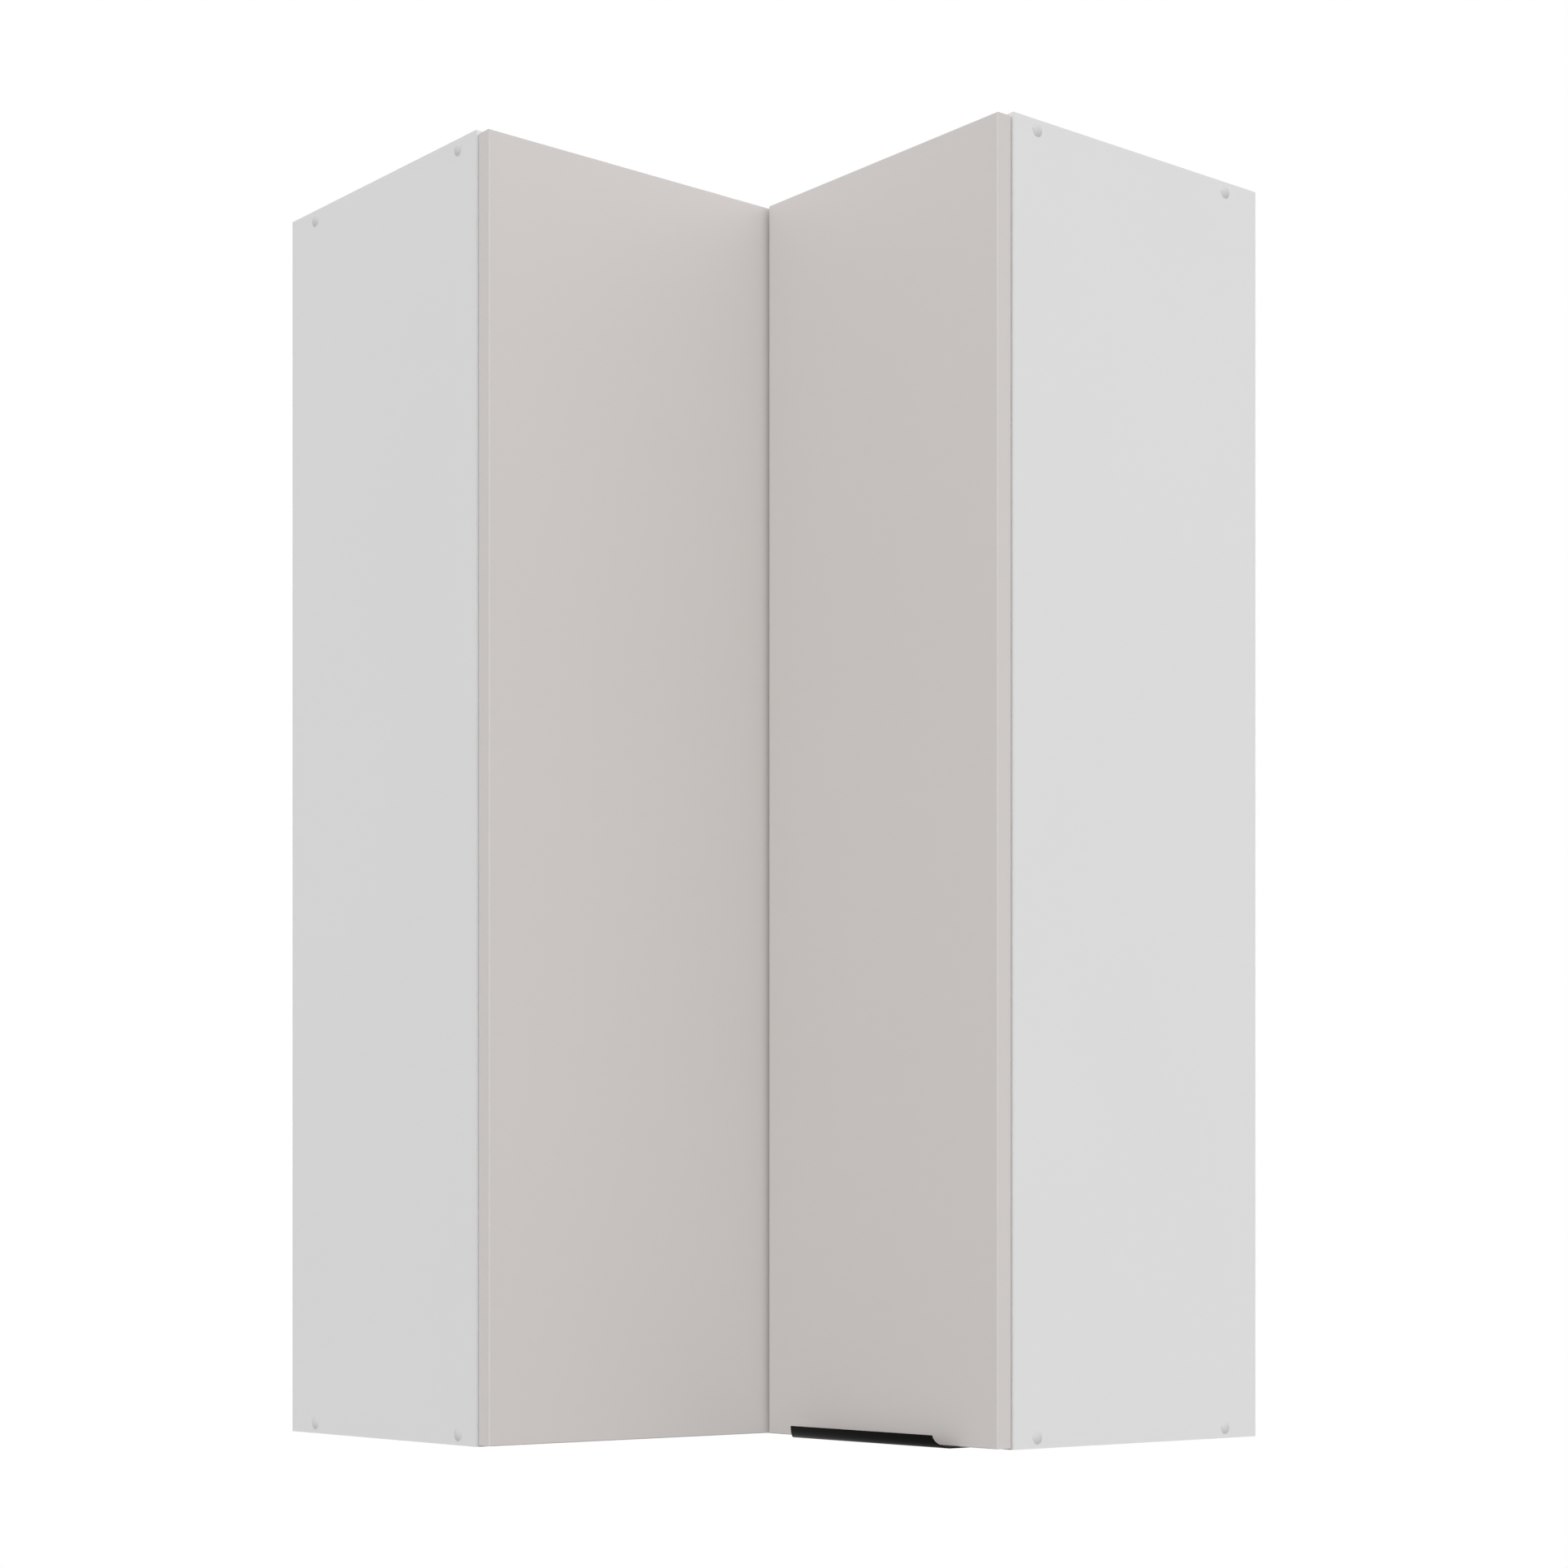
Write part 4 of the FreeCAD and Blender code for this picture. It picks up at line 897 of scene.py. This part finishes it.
# %% Cups and links in their places
wearer = {"side": "left_door", "corner": "right_door"}
for kind in ("side", "corner"):
    turn = (0, 0, hinge_turn[kind])
    for hinge, level in hinge_levels.items():
        root = on_hinge(kind, 0, 0, level)
        stem = f"{kind}_hinge_{hinge}"
        dress(copy_to(cup, f"{kind}_{hinge}_pot", root, turn), "hinge_steel", wearer[kind],
              f"{stem}_cup")
        dress(copy_to(front_link, f"{kind}_{hinge}_thick_link", root, turn), "hinge_steel",
              f"{kind}_front_link", f"{stem}_front_link")
        dress(copy_to(rear_link, f"{kind}_{hinge}_cheek_link", root, turn), "hinge_steel",
              f"{kind}_rear_link", f"{stem}_rear_link")
drop(cup, front_link, rear_link)

# %% [markdown]
# ## Hinge arms
#
# An arm is a channel bent from sheet. Its two ears hold the rear link's pin. A solid
# bar with the channel's outline comes first: blocks and a round end, united, with the
# bend rounded over. Carving the inside out leaves the sheet. Bending a flat sheet would
# take more steps for the same channel.

# %% Ears and insides
arm_half, arm_inside, arm_sheet, ear_radius = 8.2, 7, 1.2, 4.5


def mm_slab(name, low, high):
    """A box between two corners in millimetres."""
    return slab(name, Vector(low) * MM, Vector(high) * MM)


def add_ear(arm):
    """Unite the round end that the ears are cut from."""
    ear = mm_rod("ear", (ear_x, ear_y, -arm_half), upright, ear_radius, 2 * arm_half)
    carve(arm, ear, "UNION")


def finish_arm(arm, hollows, name):
    """Carve the channel's inside, round its edges and put the pin across the ears."""
    for (low_x, low_y), (high_x, high_y) in hollows:
        carve(arm, mm_slab("hollow", (low_x, low_y, -arm_inside), (high_x, high_y, arm_inside)))
    round_edges(arm, width=0.25 * MM, segments=2)
    arm_pin = mm_rod("pin", (ear_x, ear_y, -arm_half), upright, hinge_pin_radius, 2 * arm_half,
                     sides=24)
    return join([arm, arm_pin], name)


print("arm pin:", round(ear_x, 2), round(ear_y, 2))

# %% [markdown]
# The side arm is straight, and lies on the end panel. Its neck leans from the ears to the
# channel, so the neck starts as a block whose front face is pushed sideways.

# %% Side arm
channel_open, channel_back, channel_start, channel_end = 18.5, 28.2, 36, 88
before_open, beyond, overlap = 13, 40, 0.1
is_upright = runs_along(2)
side_arm = mm_slab("side_arm", (channel_open, channel_start, -arm_half),
                   (channel_back, channel_end, arm_half))
bevel_where(side_arm, width=1.5 * MM, segments=4, test=lambda a, b: (
    is_upright(a, b) and a.x > (channel_back - 1) * MM and a.y > (channel_end - 1) * MM))
neck = mm_slab("neck", (channel_open, ear_y, -arm_half),
               (channel_back, channel_start + overlap, arm_half))
bpy.ops.object.mode_set(mode="EDIT")
select_faces(neck, lambda centre, normal: normal.y < -0.5)
neck_shift = ear_x - (channel_open + channel_back) / 2
bpy.ops.transform.translate(value=(neck_shift * MM, 0, 0))
bpy.ops.object.mode_set(mode="OBJECT")
carve(side_arm, neck, "UNION")
add_ear(side_arm)
side_arm = finish_arm(side_arm, [
    ((before_open, channel_start - 1), (channel_back - arm_sheet, channel_end + 1)),
    ((before_open, 0), (beyond, channel_start)),
], "side_arm")
print("side arm faces:", len(side_arm.data.polygons))

# %% [markdown]
# The corner arm goes round the inner corner, from the left door's back to the right
# door's cup: a bridge, and a leg at a right angle to it. Both open towards the inside
# of the bend.

# %% Corner arm
bridge_low, bridge_top = 18.28, 27.28
leg_back, leg_open, leg_end = -32, -22.3, -35
inside_top, inside_back = bridge_top - arm_sheet, leg_back + arm_sheet
below_bridge, above_bridge, past_leg, ears_start = 17, 29, -21, 22.4
corner_arm = mm_slab("corner_arm", (leg_back, bridge_low, -arm_half), (ear_x, bridge_top, arm_half))
leg = mm_slab("leg", (leg_back, leg_end, -arm_half), (leg_open, bridge_top, arm_half))
carve(corner_arm, leg, "UNION")
bevel_where(corner_arm, width=3.5 * MM, segments=6, test=lambda a, b: (
    is_upright(a, b) and a.x < (leg_back + 1) * MM and a.y > (bridge_top - 1) * MM))
add_ear(corner_arm)
corner_arm = finish_arm(corner_arm, [
    ((inside_back, below_bridge), (beyond, inside_top)),
    ((ears_start, below_bridge), (beyond, above_bridge)),
    ((inside_back, leg_end - 1), (past_leg, inside_top)),
], "corner_arm")
print("corner arm faces:", len(corner_arm.data.polygons))

# %% [markdown]
# ## Mounting plates
#
# The arm clips over a rail on a cross plate, whose two ears are screwed to the board.
# Plate and rail could stay two pieces, but the real plate is one piece of metal. So
# the ears' corners are rounded first, and then the rail is united with them.

# %% One mounting plate
plate_wing, plate_half = 7, 23
rail_front, rail_rear, rail_height, rail_half = -14, 22, 10.5, 6.9
plate = mm_slab("plate", (0, -plate_wing, -plate_half), (plate_thickness, plate_wing, plate_half))
bevel_where(plate, width=4 * MM, segments=6, test=runs_along(0))
rail = mm_slab("rail", (0, rail_front, -rail_half), (rail_height, rail_rear, rail_half))
bevel_where(rail, width=1.5 * MM, segments=3, test=runs_along(0))
carve(plate, rail, "UNION")
round_edges(plate, width=0.25 * MM, segments=2)
print("plate faces:", len(plate.data.polygons))

# %% [markdown]
# Arm and plate stay with what they are screwed to: the end panel for the side hinges, and
# the left door for the corner hinges.

# %% Arms and plates in their places
holder = {"side": "carcass", "corner": "left_door"}
plate_turn = {"side": 0.0, "corner": math.radians(90)}
for kind, arm in (("side", side_arm), ("corner", corner_arm)):
    for hinge, level in hinge_levels.items():
        root = on_hinge(kind, 0, 0, level)
        foot = plate_seat[kind] + Vector((0, 0, level)) - plate_thickness * MM * plate_axis[kind]
        stem = f"{kind}_hinge_{hinge}"
        dress(copy_to(arm, f"{kind}_{hinge}_channel", root, (0, 0, hinge_turn[kind])),
              "hinge_steel", holder[kind], f"{stem}_arm")
        dress(copy_to(plate, f"{kind}_{hinge}_foot", foot, (0, 0, plate_turn[kind])),
              "hinge_steel", holder[kind], f"{stem}_plate")
drop(side_arm, corner_arm, plate)

# %% [markdown]
# ## Arm screws
#
# Each arm is held to its plate by one screw, and a second one shifts the door
# sideways. They are flat-headed and lie on the arm's back. The wood screw could be
# used again, but only the heads show here, so only flat heads are made.

# %% Arm screws
arm_screw = turned("arm_screw", [(3.2, -0.1), (3.2, 0.45), (3.0, 0.75), (2.5, 0.9)])
cross_recess(arm_screw, top=0.9, reach=1.9, wide=0.8, deep=0.6)
arm_backs = {"side": (channel_back, (54, 76)), "corner": (leg_back, (-27, -5))}
for kind, (along, depths) in arm_backs.items():
    turn = facing(plate_axis[kind])
    heads = [copy_to(arm_screw, "head", on_hinge(kind, along, deep, level), turn)
             for level in hinge_levels.values() for deep in depths]
    dress(join(heads, f"{kind}_arm_screws"), "zinc_steel", holder[kind])
drop(arm_screw)

# %% [markdown]
# ## Hanger covers
#
# A hanger hides under a slip-on cover, open towards the panel and the wall. Its
# free edges are well rounded, as a moulded shell's are. Solidify could give the wall,
# but it would close the two open sides, so the inside is carved out last instead.

# %% Hanger covers
cover_wall, cover_round = 1.0 * MM, 2.2 * MM


def hanger_cover(side):
    """The cover of one hanger, from the box of the measured one."""
    low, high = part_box(f"{side}_hanger_cover")
    shell = slab(f"{side}_cover", low, high)
    across, deep = (0, 1) if side == "left" else (1, 0)

    def is_free(a, b):
        outside = min(a[across], b[across]) > high[across] - near
        ahead = max(a[deep], b[deep]) < low[deep] + near
        return outside or ahead

    bevel_where(shell, width=cover_round, segments=5, test=is_free)
    cut_low, cut_high = low.copy(), high.copy()
    cut_low[across] = low[across] - cover_wall
    cut_high[across] = high[across] - cover_wall
    cut_low[deep] = low[deep] + cover_wall
    cut_high[deep] = high[deep] + cover_wall
    cut_low.z, cut_high.z = low.z + cover_wall, high.z - cover_wall
    carve(shell, slab("hollow", cut_low, cut_high))
    shade_smooth(degrees=30)
    return shell


for side in ("left", "right"):
    dress(hanger_cover(side), "cover_plastic", "carcass", f"{side}_hanger_cover")

# %% [markdown]
# ## Bumpers and handle screws
#
# Two clear pads soften the right door's landing. The handle's flange is held by two
# flat-headed screws, which lie almost flush with it. Both are turned shapes again.

# %% Bumpers
pad_radius = 4
pad = turned("pad", [(pad_radius, 0), (3.9, 0.2), (3.5, 0.4), (2.8, 0.53), (1.6, 0.6)])
bumper_low, bumper_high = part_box("door_bumpers")
pad_y = (bumper_low.y + bumper_high.y) / 2
pads = [copy_to(pad, "pad", (bumper_high.x, pad_y, level), facing(-towards_x))
        for level in (bumper_low.z + pad_radius * MM, bumper_high.z - pad_radius * MM)]
dress(join(pads, "soft_pads"), "clear_bumper", "carcass", "door_bumpers")
drop(pad)

# %% Handle screws
flange_screw_half, flange_screw_rise = 80, 11
flat_screw = turned("flat_screw", [
    (0.4, -9.9), (1.8, -8), (1.8, -1.2), (3.1, -0.05), (3.1, 0.15), (2.8, 0.25)])
cross_recess(flat_screw, top=0.25, reach=1.9, wide=0.8, deep=0.7)
screw_level = right_door_low.z + flange_screw_rise * MM
flat_screws = [
    copy_to(flat_screw, "flat",
            (right_door_high.x, handle_middle + way * flange_screw_half * MM, screw_level),
            facing(towards_x))
    for way in (-1, 1)]
dress(join(flat_screws, "flange_screws"), "zinc_steel", "right_door", "handle_screws")
drop(flat_screw)

# %% [markdown]
# ## Floor
#
# The cabinet hangs on a wall, so the floor is far below it. To the camera and to
# reflections the floor is plain white, as the backdrop is. To the light it is a mid
# grey. A floor that is white to the light too would be simpler, but it would light the
# cabinet from below, and the handle would cast a shade up on to the door.

# %% Floor
hanging_height, floor_size = 1.4, 200
floor_grey, plain_white = (0.18, 0.18, 0.18), (1.0, 1.0, 1.0)


def shown(shader):
    """1 for a ray from the camera, off a gloss or through glass."""
    camera, glossy, through = (shader.node("LightPath", output=f"Is {kind} Ray")
                               for kind in ("Camera", "Glossy", "Transmission"))
    return camera | glossy | through


deselect()
bpy.ops.mesh.primitive_plane_add(size=floor_size, location=(0, 0, -hanging_height))
floor = settle(bpy.context.object, "floor")
ground = finish("studio floor")
grey = ground.node("BsdfDiffuse", sockets={"Color": floor_grey})
white = ground.node("Emission", sockets={"Color": plain_white, "Strength": 1.0})
mixed = ground.node("MixShader", sockets={0: shown(ground), 1: grey, 2: white})
ground.node("OutputMaterial", sockets={"Surface": mixed})
floor.data.materials.append(ground.owner)
print("floor", hanging_height, "m below the cabinet")

# %% [markdown]
# ## World and lamps
#
# The light is that of a bright room: brightest near the horizon and in front, and
# dimmer towards the ceiling and the walls. An even sky would be simpler, but then the
# faces that meet at a corner would hardly differ. Two wide lamps add a soft direction,
# one from the front and a weaker one from behind, for views of the back. Their 30
# degrees keep every shadow's edge soft.

# %% World
world = bpy.data.worlds.new("studio")
bpy.context.scene.world = world
sky = Shader(world)
_, rearward, upward = sky.axes(sky.node("TexCoord", output="Generated"))
horizon_light, dimming_up, dimming_back = 1.37, 0.7, 0.28
level_light = (horizon_light - dimming_up * upward) * (1 - dimming_back * rearward)
soft = sky.node("Background", sockets={"Color": plain_white, "Strength": level_light})
backdrop = sky.node("Background", sockets={"Color": plain_white, "Strength": 1.0})
seen_or_lit = sky.node("MixShader", sockets={0: shown(sky), 1: soft, 2: backdrop})
sky.node("OutputWorld", sockets={"Surface": seen_or_lit})
print("light at the horizon:", horizon_light)

# %% Lamps
lamp_width = math.radians(30)


def soft_sun(name, towards, strength):
    """A wide sun that shines towards a direction."""
    data = bpy.data.lights.new(name, "SUN")
    data.angle = lamp_width
    data.energy = strength
    sun = bpy.data.objects.new(name, data)
    bpy.context.collection.objects.link(sun)
    sun.rotation_euler = Vector(towards).to_track_quat("-Z", "Y").to_euler()
    print(name, "strength", strength)


soft_sun("front light", (0.67, 0.62, -0.42), 1.10)
soft_sun("rear light", (-0.72, -0.62, -0.40), 0.9)

# %% [markdown]
# ## Camera
#
# The camera stands a little above the level of the cabinet's foot and looks straight
# ahead. It could be tilted up instead, but then the upright edges would lean together,
# and in the picture they stay parallel. So the lens is shifted up to bring the cabinet
# into the middle. Place, turn, lens and shift were worked out from where the cabinet's
# corners lie in the picture.

# %% Camera
heading = math.radians(-39.82)
camera_data = bpy.data.cameras.new("camera")
camera_data.sensor_width = 36
camera_data.lens = 69.95
camera_data.shift_y = 0.2997
camera = bpy.data.objects.new("camera", camera_data)
bpy.context.collection.objects.link(camera)
camera.location = (-1.75387, -2.12766, 0.16267)
camera.rotation_euler = (math.radians(90), 0, heading)
bpy.context.scene.camera = camera
bpy.context.scene.view_settings.view_transform = "Standard"
print("camera at", tuple(round(part, 3) for part in camera.location))
